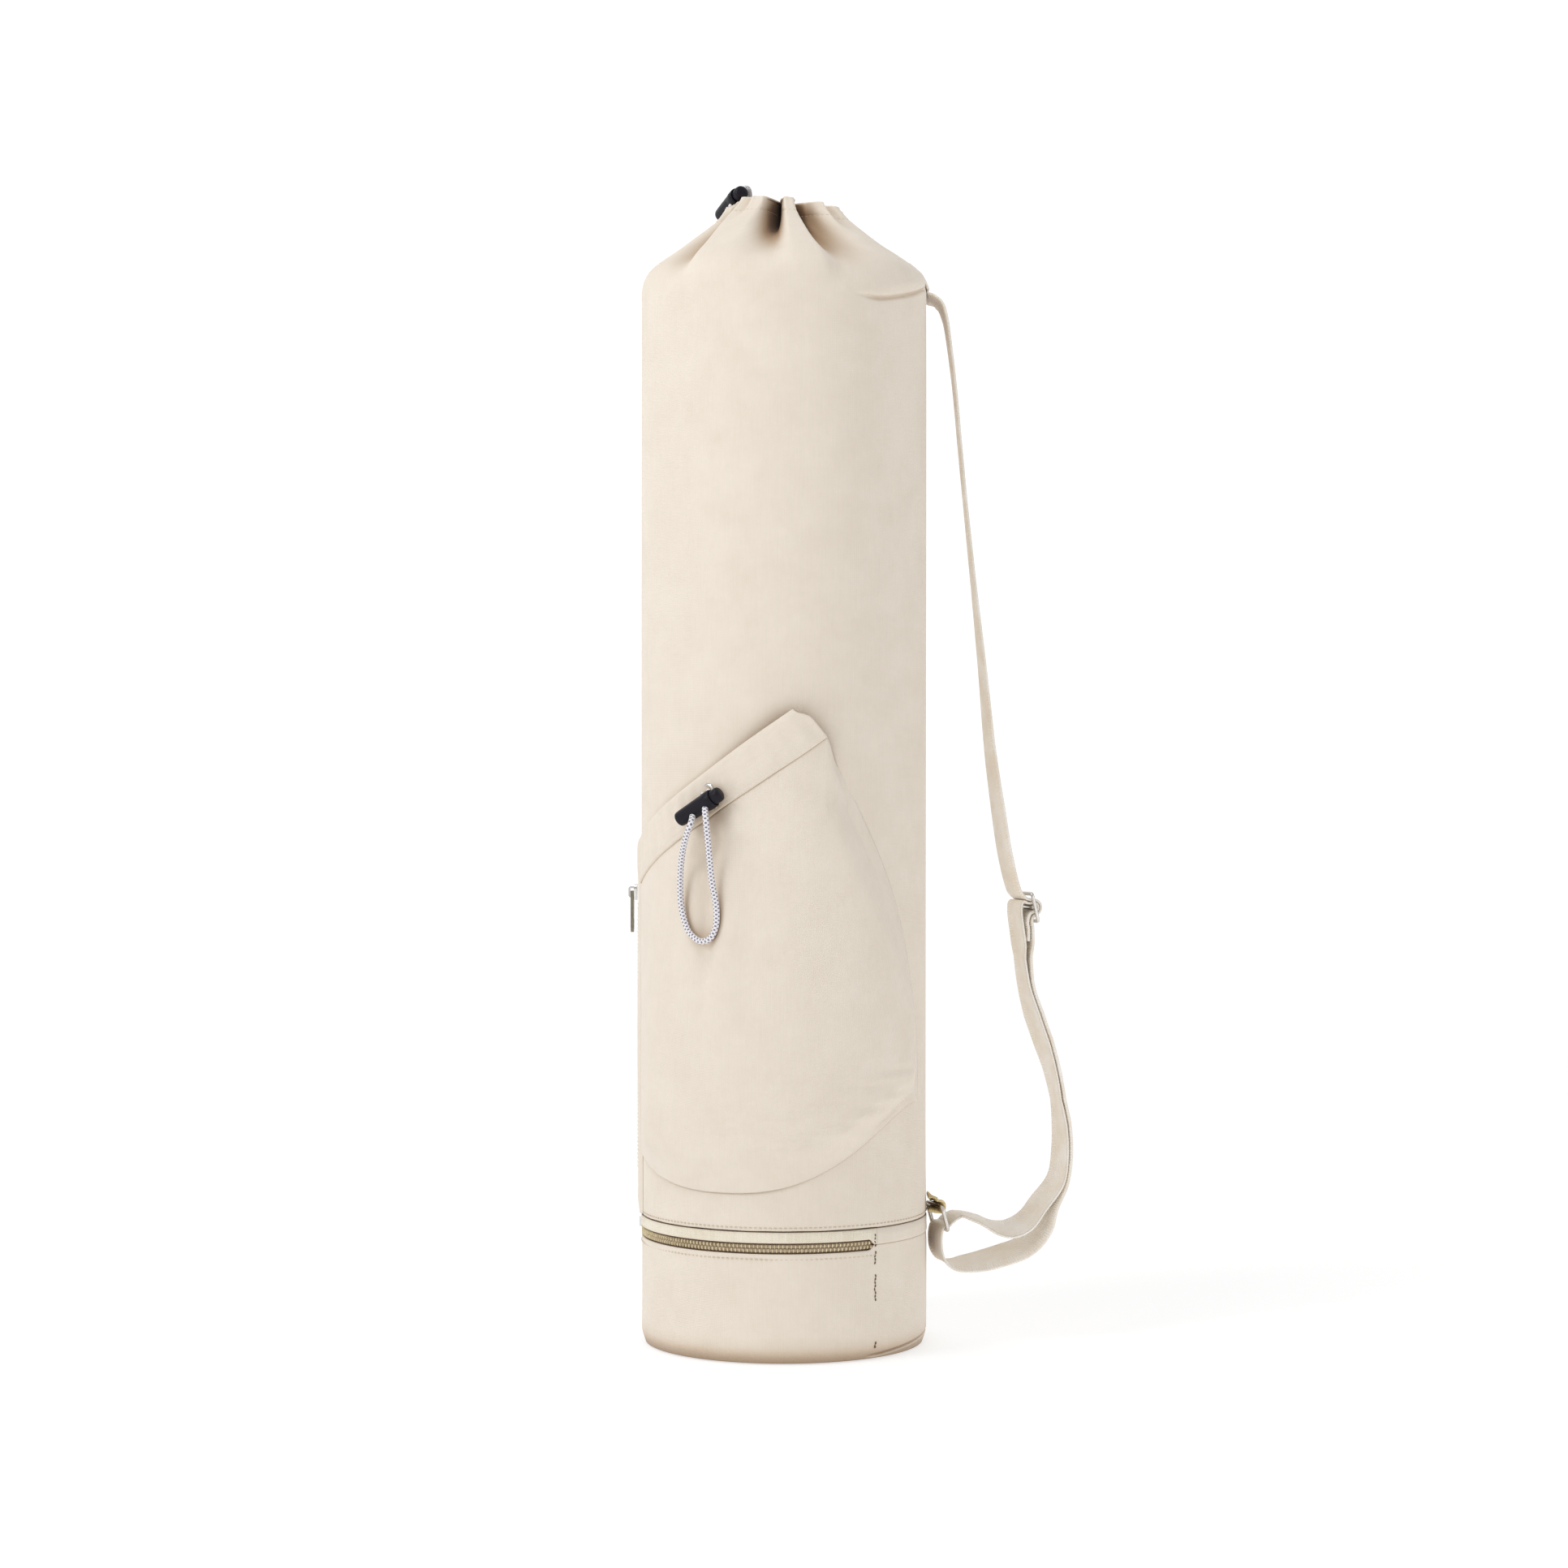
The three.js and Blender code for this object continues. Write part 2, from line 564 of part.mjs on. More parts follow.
// How far the pocket's inner face stands off the wall, at a share of the way up its height.
function pocketStand(across, share) {
  const height = pocketTop(across) - pocketLow(across);
  const low = ease(share * height / 24);
  const left = ease((across - POCKET_LEFT) / 40);
  const full = POCKET_FULL * left;
  if (across <= POCKET_CORNER) {
    const blend = ease((share - 0.3) / 0.7);
    return low * mix(full, mouthStand(across), blend);
  }
  const seam = ease((1 - share) * height / 60);
  const fade = 1 - ease((across - POCKET_CORNER) / 18);
  const right = ease((POCKET_RIGHT - across) / 30);
  return low * mix(full * seam * right, mouthStand(POCKET_CORNER), fade * ease((share - 0.3) / 0.7));
}

function bottlePocket() {
  const columns = [];
  const leftSteps = 18;
  const rightSteps = 12;
  for (let i = 0; i <= leftSteps; i += 1) columns.push(mix(POCKET_LEFT, POCKET_CORNER, i / leftSteps));
  for (let i = 1; i <= rightSteps; i += 1) columns.push(mix(POCKET_CORNER, POCKET_RIGHT, i / rightSteps));
  const ups = [0, 0.04, 0.09, 0.16, 0.3, 0.45, 0.6, 0.75, 0.88, 1];
  const sections = columns.map((across) => {
    const low = pocketLow(across);
    const top = pocketTop(across);
    const inner = ups.map((up) => onWall(across, mix(low, top, up), pocketStand(across, up)));
    const outer = ups.map((up) => onWall(across, mix(low, top, up), pocketStand(across, up) + POCKET_CLOTH));
    return [...outer, ...inner.reverse()];
  });
  return loft(sections);
}

// A point in the hem: along its length from 0 at the left, up its width from the stitch line in
// millimetres, and off its inner face. Its upper edge runs a little shorter than its stitch line.
function hemPoint(along, up, off) {
  const lower = mix(POCKET_LEFT, POCKET_CORNER, along);
  const slope = Math.atan(HEM_STEEP * (1 - 2 * HEM_EASE * (1 - along)));
  const upper = lower - HEM_WIDTH * Math.sin(slope) * along;
  const rise = HEM_WIDTH / Math.cos(slope);
  const across = mix(lower, upper, up / HEM_WIDTH);
  const height = mix(stitchHeight(lower), stitchHeight(upper) + rise, up / HEM_WIDTH);
  const foot = Math.max(mouthStand(lower) - (HEM_THICK - POCKET_CLOTH) / 2, 0);
  const lip = HEM_STAND * ease((along - 0.5) / 0.5);
  return onWall(across, height, mix(foot, lip, ease(up / HEM_WIDTH)) + off);
}

// The hem flattens towards its left end, where it is caught in the side pocket's seam.
const hemThick = (along) => mix(HEM_END_THICK, HEM_THICK, ease(along / 0.35));

function hemSection(along, inset) {
  const low = GAP + inset;
  const high = HEM_WIDTH - inset;
  const bevel = HEM_THICK / 2;
  const [near, far] = [inset, hemThick(along) - inset];
  const round = Math.min(bevel, (far - near) / 3);
  return [
    hemPoint(along, low, near + round),
    hemPoint(along, low + bevel, near),
    hemPoint(along, mix(low, high, 0.5), near),
    hemPoint(along, high - bevel, near),
    hemPoint(along, high, near + round),
    hemPoint(along, high, far - round),
    hemPoint(along, high - bevel, far),
    hemPoint(along, mix(low, high, 0.5), far),
    hemPoint(along, low + bevel, far),
    hemPoint(along, low, far - round),
  ];
}

// The hem casing: a flat cloth tube round its drawcord, open at its right end.
function pocketHem() {
  const steps = 20;
  const outer = [];
  const channel = [];
  for (let i = 0; i <= steps; i += 1) {
    outer.push(hemSection(i / steps, 0));
    channel.push(hemSection(mix(0.26, 1.03, i / steps), POCKET_CLOTH));
  }
  const { centre, outward } = eyeletPlace();
  const hole = new THREE.CylinderGeometry(EYELET_HOLE + GAP, EYELET_HOLE + GAP, 2 * POCKET_CLOTH + 2, 20);
  hole.rotateX(Math.PI / 2).applyMatrix4(basisTo(centre, outward, new THREE.Vector3(0, 0, 1)));
  return cut(loft(outer), loft(channel), hole);
}

// A matrix that takes Z to a direction and Y as near as it can to a second one, at a place.
function basisTo(place, forward, up) {
  const z = forward.clone().normalize();
  const y = up.clone().addScaledVector(z, -up.dot(z)).normalize();
  const x = y.clone().cross(z);
  return new THREE.Matrix4().makeBasis(x, y, z).setPosition(place);
}

// Where the eyelet sits on the hem's outer face, and which way it faces.
function eyeletPlace() {
  const centre = hemPoint(EYELET_ALONG, EYELET_UP, HEM_THICK);
  const at = (along, up) => hemPoint(EYELET_ALONG + along, EYELET_UP + up, HEM_THICK);
  const sideways = at(0.03, 0).sub(at(-0.03, 0));
  const upwards = at(0, EYELET_RADIUS).sub(at(0, -EYELET_RADIUS));
  return { centre, outward: sideways.cross(upwards).normalize() };
}

function pocketEyelet() {
  const [r, h, low, high] = [EYELET_RADIUS, EYELET_HOLE, EYELET_OFF, EYELET_OFF + EYELET_THICK];
  const rim = [[r, low], [r, low + 0.3], [r - 0.7, high], [h + 0.5, high], [h, high - 0.3]];
  return lathe([[h, low], ...rim, [h, low]], 20);
}

// The cord lock's barrel, along Z from its small round end, with its cords through along Y.
// The cords leave through two round holes and go in at the back through one long one.
function lockBarrel() {
  const cupDepth = BUTTON_TRAVEL + 1;
  const bottom = FIRST_HOLE - CORD / 2 - BUTTON_TRAVEL - 2.6;
  const cup = LOCK_LENGTH - cupDepth;
  const body = lathe([[0, 0], [LOCK_SMALL - 1, 0], [LOCK_SMALL, 1.2], [LOCK_BIG, LOCK_LENGTH - 2],
    [LOCK_BIG, LOCK_LENGTH], [LOCK_CUP, LOCK_LENGTH], [LOCK_CUP, cup], [LOCK_BORE, cup], [LOCK_BORE, bottom],
    [0, bottom]], 20);
  const holes = [0, 1].map((i) => new THREE.CylinderGeometry(HOLE_RADIUS, HOLE_RADIUS, LOCK_BIG * 2, 16)
    .translate(0, -LOCK_BIG, FIRST_HOLE + i * HOLE_SPACING));
  const slot = new THREE.BoxGeometry(2 * HOLE_RADIUS, 2 * LOCK_BIG, HOLE_SPACING + 2)
    .translate(0, LOCK_BIG, FIRST_HOLE + HOLE_SPACING / 2 + 2.4);
  return cut(body, ...holes, slot);
}

// The spring button, with a stem that reaches past the cords and a window that they go through.
function lockButton() {
  const head = LOCK_LENGTH - 0.6;
  const top = LOCK_LENGTH + BUTTON_PROUD;
  const stemEnd = FIRST_HOLE - CORD / 2 - 2;
  const stem = LOCK_BORE - GAP;
  const body = lathe([[0, stemEnd], [stem, stemEnd], [stem, head], [BUTTON_RADIUS, head],
    [BUTTON_RADIUS, top - 1.6], [BUTTON_RADIUS - 1, top - 0.3], [BUTTON_RADIUS - 2.4, top], [0, top]], 20);
  const radius = CORD / 2 + GAP;
  const low = FIRST_HOLE - radius;
  const high = FIRST_HOLE + HOLE_SPACING + radius + BUTTON_TRAVEL;
  const window = new THREE.BoxGeometry(2 * radius, 4 * LOCK_BORE, high - low)
    .translate(0, 0, (low + high) / 2);
  return cut(body, window);
}

// A cord's tube through its chosen points.
function cordTube(points, steps) {
  const sides = 8;
  const corners = Array.from({ length: sides }, (_, i) => {
    const turn = 2 * Math.PI * i / sides;
    return new THREE.Vector2(CORD / 2 * Math.cos(turn), CORD / 2 * Math.sin(turn));
  });
  const path = new THREE.CatmullRomCurve3(points.map((p) => new THREE.Vector3(...p)), false, 'centripetal');
  const shape = new THREE.Shape(corners);
  return new THREE.ExtrudeGeometry(shape, { steps, extrudePath: path, bevelEnabled: false });
}

// Webbing along a row of path points, each with its place, the turn of its width about Z and its
// tilt out of the level, in degrees.
function webbing(rows, samples) {
  const path = new THREE.CatmullRomCurve3(rows.map((row) => row.at), false, 'centripetal');
  const sections = [];
  for (let i = 0; i <= samples; i += 1) {
    const t = i / samples;
    const centre = path.getPoint(t);
    const tangent = path.getTangent(t);
    const step = t * (rows.length - 1);
    const low = Math.min(Math.floor(step), rows.length - 2);
    const turn = mix(rows[low].turn, rows[low + 1].turn, step - low) * RAD;
    const tilt = mix(rows[low].tilt, rows[low + 1].tilt, step - low) * RAD;
    const flat = Math.cos(tilt);
    const wide = new THREE.Vector3(-Math.sin(turn) * flat, Math.cos(turn) * flat, Math.sin(tilt));
    wide.addScaledVector(tangent, -wide.dot(tangent)).normalize();
    const thick = tangent.clone().cross(wide).normalize().multiplyScalar(WEB_THICK / 2);
    wide.multiplyScalar(WEB_WIDTH / 2);
    const corner = (a, b) => centre.clone().addScaledVector(wide, a).addScaledVector(thick, b);
    sections.push([corner(-1, -1), corner(1, -1), corner(1, 1), corner(-1, 1)]);
  }
  return loft(sections);
}

const row = (x, y, z, turn = 0, tilt = 0) => ({ at: new THREE.Vector3(x, y, z), turn, tilt });

// The strap's fall from the shoulder to its slider: shares of the way across and of the drop.
const STRAP_FALL = [
  { across: 0, drop: 0 },
  { across: 0.09, drop: 0.008 },
  { across: 0.163, drop: 0.0185 },
  { across: 0.215, drop: 0.040 },
  { across: 0.249, drop: 0.071 },
  { across: 0.317, drop: 0.151 },
  { across: 0.388, drop: 0.265 },
  { across: 0.45, drop: 0.36 },
  { across: 0.544, drop: 0.495 },
  { across: 0.642, drop: 0.632 },
  { across: 0.732, drop: 0.77 },
  { across: 0.819, drop: 0.865 },
  { across: 0.9, drop: 0.943 },
];

// The doubled stretch under the slider, from the top down: shares of the loop's reach past the
// ring's bar and of the slider's height over it, and the turn and tilt of the webbing's width.
const STRAP_DOUBLE = [
  { reach: 0.679, up: 0.841, turn: 11, tilt: 0 },
  { reach: 0.705, up: 0.752, turn: 13, tilt: 0 },
  { reach: 0.769, up: 0.664, turn: 19, tilt: 0 },
  { reach: 0.85, up: 0.574, turn: 19, tilt: 0 },
  { reach: 0.914, up: 0.496, turn: 14, tilt: 0 },
  { reach: 0.967, up: 0.402, turn: 10, tilt: 0 },
  { reach: 0.997, up: 0.320, turn: 16, tilt: 0 },
  { reach: 1.0, up: 0.232, turn: 19, tilt: 2 },
  { reach: 0.967, up: 0.149, turn: 19, tilt: 8 },
];

// The two runs at the foot of the loop: the outer one down to the ring, and the inner one back.
const STRAP_OUT = [
  { reach: 0.902, up: 0.0756, turn: 18, tilt: 13 },
  { reach: 0.857, up: 0.0126, turn: 17, tilt: 16 },
  { reach: 0.773, up: -0.0337, turn: 16, tilt: 18 },
  { reach: 0.66, up: -0.0655, turn: 16, tilt: 20 },
  { reach: 0.504, up: -0.0866, turn: 16, tilt: 20 },
  { reach: 0.363, up: -0.102, turn: 16, tilt: 19 },
  { reach: 0.209, up: -0.112, turn: 16, tilt: 14 },
  { reach: 0.093, up: -0.113, turn: 16, tilt: 8 },
  { reach: 0.013, up: -0.099, turn: 16, tilt: 3 },
];
const STRAP_IN = [
  { reach: 0.289, up: 0.0287, turn: 12, tilt: 8 },
  { reach: 0.451, up: 0.0005, turn: 14, tilt: 14 },
  { reach: 0.573, up: -0.003, turn: 16, tilt: 17 },
  { reach: 0.697, up: 0.0196, turn: 17, tilt: 17 },
  { reach: 0.81, up: 0.0756, turn: 18, tilt: 13 },
];

// Near the slider: places down it and out from it, as shares of its span. The strap leaves it,
// comes back behind it, and ends under it.
const SLIDER_OUT = [[0.713, -0.19], [1.241, -0.305]];
const SLIDER_BACK = [
  [1.241, -0.598], [0.69, -0.54], [0.23, -0.494], [-0.029, -0.448], [-0.218, -0.379], [-0.282, -0.282],
];
const SLIDER_TAIL = [[0.46, -0.322], [0.701, -0.345], [1.121, -0.448]];

// Before and after the ring's lower bar: places across and up from it, as shares of its height.
const RING_BEFORE = [[-0.174, -0.94], [-0.228, -0.503], [-0.208, -0.161]];
const RING_AFTER = [[0.295, 0.322], [0.591, 0.49], [0.926, 0.53]];

// Where the strap is sewn on the shoulder, as ways along the crown's cloth.
const SHOULDER_SEWN = [0.36, 0.28, 0.2];

// The ring's frame: its bar direction, the way down its legs and the centres of its two bars.
function ringFrame() {
  const bar = new THREE.Vector3(-Math.sin(RING_TURN * RAD), Math.cos(RING_TURN * RAD), 0);
  const leg = new THREE.Vector3(Math.sin(RING_LEAN * RAD), 0, -Math.cos(RING_LEAN * RAD));
  leg.addScaledVector(bar, -leg.dot(bar)).normalize();
  const top = new THREE.Vector3(BODY_RADIUS + RING_OUT, 0, SEAM_HEIGHT + RING_OVER_SEAM);
  const low = top.clone().addScaledVector(leg, RING_HEIGHT);
  return { bar, leg, top, low };
}

// A point in the strap slider's own plane: down its length, and out from it.
function sliderPoint(down, out) {
  const lean = SLIDER_LEAN * RAD;
  const x = SLIDER_AT_X + down * Math.sin(lean) + out * Math.cos(lean);
  const z = SLIDER_AT_Z - down * Math.cos(lean) + out * Math.sin(lean);
  return [x, z];
}

// How far the strap's plane stands aside at a place near its slider, which is turned about Z.
function slant(x, z) {
  const away = Math.abs(z - SLIDER_AT_Z) / SLIDER_SPAN;
  return (x - SLIDER_AT_X) * Math.tan(SLIDER_TURN * RAD) * (1 - ease((away - 1.7) / 2.9));
}

const CORNER = Math.hypot(BAR, SLIDER_PLATE / 2);
const TURN_RADIUS = CORNER + GAP + WEB_THICK / 2;
const OVER_RADIUS = TURN_RADIUS + WEB_THICK + GAP;

function arcRows(radius, from, to, steps) {
  return Array.from({ length: steps + 1 }, (_, i) => {
    const turn = mix(from, to, i / steps) * RAD;
    const [x, z] = sliderPoint(-radius * Math.cos(turn), radius * Math.sin(turn));
    return row(x, slant(x, z), z, SLIDER_TURN);
  });
}

// The whole shoulder strap: sewn on the shoulder, down through the slider, round the ring's lower
// bar and back up to its sewn end round the slider's centre bar.
function strapWebbing() {
  const rows = [];
  const lie = -(WEB_THICK / 2 + GAP + STRAP_LIE);
  for (const along of SHOULDER_SEWN) {
    const p = crownPoint(STRAP_ANGLE, along, lie);
    rows.push(row(p.x, p.y, p.z, STRAP_ANGLE - 90));
  }
  const side = rows[2].at.y;
  const start = { x: BODY_RADIUS + SHOULDER_OUT, z: CROWN_FOOT + SHOULDER_RISE };
  const over = -OVER_RADIUS - LAYER_GAP;
  const [endX, endZ] = sliderPoint(-0.672 * SLIDER_SPAN, over);
  for (const { across, drop } of STRAP_FALL) {
    const turn = (STRAP_ANGLE - 90) * (1 - ease(across / 0.3)) + SLIDER_TURN * ease((across - 0.45) / 0.45);
    const [x, z] = [mix(start.x, endX, across), mix(start.z, endZ, drop)];
    rows.push(row(x, side * (1 - across) + slant(x, z), z, turn));
  }
  const weave = (list) => list.forEach(([down, out]) => {
    const [x, z] = sliderPoint(down * SLIDER_SPAN, out);
    rows.push(row(x, slant(x, z), z, SLIDER_TURN));
  });
  const span = (list) => weave(list.map(([down, out]) => [down, out * SLIDER_SPAN]));
  weave([[-0.672, over], [-0.5, -OVER_RADIUS + GAP / 3], [-0.345, -OVER_RADIUS * 0.55]]);
  rows.push(...arcRows(OVER_RADIUS, 0, 180, 6));
  weave([[0.37, -OVER_RADIUS * 0.46], [0.5, -OVER_RADIUS * 0.64]]);
  span(SLIDER_OUT);

  const { low } = ringFrame();
  const rise = SLIDER_AT_Z - low.z;
  const place = ({ reach, up }) => [low.x + reach * LOOP_REACH, low.z + up * rise];
  const layer = (side) => STRAP_DOUBLE.map((entry, i) => {
    const [x, z] = place(entry);
    const before = place(STRAP_DOUBLE[Math.max(i - 1, 0)]);
    const after = place(STRAP_DOUBLE[Math.min(i + 1, STRAP_DOUBLE.length - 1)]);
    const run = Math.hypot(after[0] - before[0], after[1] - before[1]);
    const apart = side * (WEB_THICK / 2 + LAYER_GAP * (i === 0 ? 1.2 : 0.5));
    const [px, pz] = [x - apart * (after[1] - before[1]) / run, z + apart * (after[0] - before[0]) / run];
    return row(px, slant(px, pz), pz, entry.turn, entry.tilt);
  });
  rows.push(...layer(1));
  const run = (list) => list.forEach((entry) => {
    const [x, z] = place(entry);
    rows.push(row(x, 0, z, entry.turn, entry.tilt));
  });
  run(STRAP_OUT);
  const round = BAR + GAP + WEB_THICK / 2;
  const share = (list) => list.map(([x, z]) => [x * RING_HEIGHT, z * RING_HEIGHT]);
  const atRing = [...share(RING_BEFORE), [-round * 0.92, round * 0.4], [-round * 0.3, round],
    [round * 0.8, round * 1.1], ...share(RING_AFTER)];
  for (const [x, z] of atRing) {
    const aside = Math.tan(RING_TURN * RAD) * clamp(x, -0.27 * RING_HEIGHT, 0.2 * RING_HEIGHT);
    rows.push(row(low.x + x, low.y + aside, low.z + z, RING_TURN * (x < 0.67 * RING_HEIGHT ? 1 : 0.7)));
  }
  run(STRAP_IN);
  rows.push(...layer(-1).reverse());
  span(SLIDER_BACK);
  weave([[-TURN_RADIUS * 1.25 / SLIDER_SPAN, -TURN_RADIUS]]);
  rows.push(...arcRows(TURN_RADIUS, 0, 180, 5));
  weave([[TURN_RADIUS * 1.3 / SLIDER_SPAN, -1.1 * TURN_RADIUS]]);
  span(SLIDER_TAIL);
  return webbing(rows, STRAP_STEPS);
}

// The strap slider: a flat metal frame with a centre bar, in the webbing's width.
function strapSlider() {
  const half = WEB_WIDTH / 2 + SLIDER_SIDE_GAP;
  const long = SLIDER_SPAN / 2;
  const outline = new THREE.Shape();
  const [w, l, c] = [half + SLIDER_RIM, long + BAR, SLIDER_ROUND];
  outline.moveTo(-w + c, -l);
  outline.lineTo(w - c, -l);
  outline.quadraticCurveTo(w, -l, w, -l + c);
  outline.lineTo(w, l - c);
  outline.quadraticCurveTo(w, l, w - c, l);
  outline.lineTo(-w + c, l);
  outline.quadraticCurveTo(-w, l, -w, l - c);
  outline.lineTo(-w, -l + c);
  outline.quadraticCurveTo(-w, -l, -w + c, -l);
  outline.holes.push(rectanglePath(-half, half, BAR, long - BAR));
  outline.holes.push(rectanglePath(-half, half, BAR - long, -BAR));
  const flat = { depth: SLIDER_PLATE, bevelEnabled: false, curveSegments: 3 };
  const plate = new THREE.ExtrudeGeometry(outline, flat);
  return plate.translate(0, 0, -SLIDER_PLATE / 2);
}

// A rectangular wire ring with round corners, its bars along X and its legs along Y.
function wireRing(halfWidth, halfHeight, corner) {
  const centres = [[1, 1], [-1, 1], [-1, -1], [1, -1]];
  const sections = [];
  centres.forEach(([sx, sy], i) => {
    for (let k = 0; k <= 4; k += 1) {
      const turn = (i * 90 + k * 22.5) * RAD;
      const out = new THREE.Vector3(Math.cos(turn), Math.sin(turn), 0);
      const centre = new THREE.Vector3(sx * (halfWidth - corner), sy * (halfHeight - corner), 0)
        .addScaledVector(out, corner);
      sections.push(Array.from({ length: 8 }, (_, j) => {
        const spin = 2 * Math.PI * (j + 0.5) / 8;
        return centre.clone().addScaledVector(out, BAR * Math.cos(spin)).setZ(BAR * Math.sin(spin));
      }));
    }
  });
  return loft(sections, true);
}

// The tab that holds the ring: webbing out of the seam, round the ring's upper bar and back.
function ringTab() {
  const { top } = ringFrame();
  const round = BAR + GAP + WEB_THICK / 2;
  const wall = BODY_RADIUS + GAP - top.x;
  const seam = wall + TAB_SEAM_OUT;
  const path = [[seam, TAB_RISE, 0], [wall * 0.5, TAB_RISE * 0.9, 0.5], [-round * 0.17, round * 1.35, 1],
    [round * 0.78, round * 0.78, 1], [round, 0, 1], [round * 0.75, -round * 0.75, 1],
    [-round * 0.08, -round * 1.06, 1], [wall * 0.5, -round * 1.12, 0.7], [seam, -round, 0]];
  return webbing(path.map(([x, z, share]) => row(top.x + x, 0, top.z + z, RING_TURN * share)), 28);
}

// The raised pocket on the left side, slotted for its upright zip.
function sidePocket() {
  const columns = 18;
  const low = SEAM_HEIGHT + SIDE_OVER_SEAM;
  const rows = [0, 0.03, 0.08, 0.5, 0.92, 0.97, 1];
  const sections = [];
  for (let i = 0; i <= columns; i += 1) {
    const share = i / columns;
    const angle = mix(sideFront, sideFront - toAngle(SIDE_WIDTH), share);
    const edge = ease(share / 0.08) * ease((1 - share) / 0.12);
    const place = (up, more) => {
      const stand = SIDE_FULL * edge * ease(up / 0.08) * ease((1 - up) / 0.08);
      return around(angle, BODY_RADIUS + GAP + stand + more, mix(low, SIDE_TOP, up));
    };
    const [outer, inner] = [POCKET_CLOTH, 0].map((inset) => rows.map((up) => place(up, inset)));
    sections.push([...outer, ...inner.reverse()]);
  }
  const half = ZIP_CHAIN / 2 + GAP;
  const [inside, outside] = [BODY_RADIUS + GAP / 2, BODY_RADIUS + SIDE_FULL + 4 * POCKET_CLOTH];
  const slot = uprightBand([[inside, -half], [outside, -half], [outside, half], [inside, half]], SIDE_ZIP_LOW,
    SIDE_ZIP_TOP);
  return cut(loft(sections), slot);
}

// An upright prism on the left side, from profile points of radius and sideways place.
function uprightBand(profile, low, high) {
  const sections = [low, high].map((height) => profile.map(([radius, aside]) => (
    around(sideZipAngle + toAngle(aside), radius, height))));
  return loft(sections);
}

function sideZip() {
  const inner = BODY_RADIUS + GAP + SIDE_FULL;
  const profile = zipProfile(inner, inner + POCKET_CLOTH);
  return uprightBand(profile, SIDE_ZIP_LOW + ZIP_MARGIN, SIDE_ZIP_TOP - ZIP_MARGIN);
}

const COLOURS = {
  canvas: { color: 0xe6dccb, roughness: 0.9, metalness: 0 },
  webbing: { color: 0xe9dfd0, roughness: 0.85, metalness: 0 },
  zip: { color: 0xb9a069, roughness: 0.6, metalness: 0.2 },
  metal: { color: 0xc9c7c3, roughness: 0.3, metalness: 1 },
  plastic: { color: 0x1a1820, roughness: 0.45, metalness: 0 },
  cord: { color: 0xf2eff2, roughness: 0.8, metalness: 0 },
};

const bag = new THREE.Group();
bag.name = 'yoga_mat_bag';

function add(name, geometry, look, matrix) {
  const mesh = new THREE.Mesh(geometry, new THREE.MeshStandardMaterial(COLOURS[look]));
  mesh.name = name;
  if (matrix) mesh.applyMatrix4(matrix);
  bag.add(mesh);
  return mesh;
}

add('bag_body', bagBody(), 'canvas');
add('compartment_floor', compartmentFloor(), 'canvas');
add('base_wall', baseWall(), 'canvas');
add('base_panel', basePanel(), 'canvas');
add('base_zip', baseZip(), 'zip');
add('bottle_pocket', bottlePocket(), 'canvas');
add('pocket_hem', pocketHem(), 'canvas');
add('side_pocket', sidePocket(), 'canvas');
add('side_zip', sideZip(), 'zip');

const UP = new THREE.Vector3(0, 0, 1);

// Puts a zip slider's own frame on a wall: its travel along one direction, its top facing out.
function onZip(angle, radius, height, travel) {
  const place = around(angle, radius, height);
  return basisTo(place, new THREE.Vector3(place.x, place.y, 0), travel);
}

const sideZipFace = BODY_RADIUS + GAP + SIDE_FULL + POCKET_CLOTH + ZIP_PROUD + GAP;
const sideSliderAt = SIDE_ZIP_TOP - SLIDER_LENGTH / 2 - 2.5 * ZIP_MARGIN;
add('side_zip_slider', slider(), 'metal', onZip(sideZipAngle, sideZipFace, sideSliderAt, UP));
const pullRadius = sideZipFace + SLIDER_THICK + BRIDGE_OPENING / 2;
add('side_zip_puller', zipPull(), 'metal', onZip(sideZipAngle, pullRadius, sideSliderAt, UP));

const baseSliderAngle = BASE_ZIP_START + BASE_SLIDER_ALONG;
const travelBack = around(baseSliderAngle + 90, -1, 0);
const hiddenPull = new THREE.BoxGeometry(PULL_WIDTH, PULL_LENGTH, PULL_THICK)
  .translate(0, -PULL_LENGTH / 2, SLIDER_THICK + PULL_THICK / 2 - GAP / 3);
add('base_zip_slider', join(zipSlider(), hiddenPull), 'metal',
  onZip(baseSliderAngle, BODY_RADIUS + ZIP_PROUD + GAP, ZIP_HEIGHT, travelBack));

const eyelet = eyeletPlace();
add('pocket_eyelet', pocketEyelet(), 'metal', basisTo(eyelet.centre, eyelet.outward, UP));

// A lock's own frame: Z along its barrel from the small end, -Y the way its cords come out.
function lockMatrix(smallEnd, along, cordsOut) {
  const z = new THREE.Vector3(...along).normalize();
  const y = new THREE.Vector3(...cordsOut).negate();
  y.addScaledVector(z, -y.dot(z)).normalize();
  return new THREE.Matrix4().makeBasis(y.clone().cross(z), y, z).setPosition(...smallEnd);
}

for (const [prefix, place] of [['pocket_lock', POCKET_LOCK], ['top_lock', TOP_LOCK]]) {
  const matrix = lockMatrix(place.smallEnd, place.along, place.cordsOut);
  add(`${prefix}_barrel`, lockBarrel(), 'plastic', matrix);
  add(`${prefix}_button`, lockButton(), 'plastic', matrix);
}

add('pocket_cord', cordTube(POCKET_CORD, 60), 'cord');
add('top_cord', cordTube(TOP_CORD, 76), 'cord');

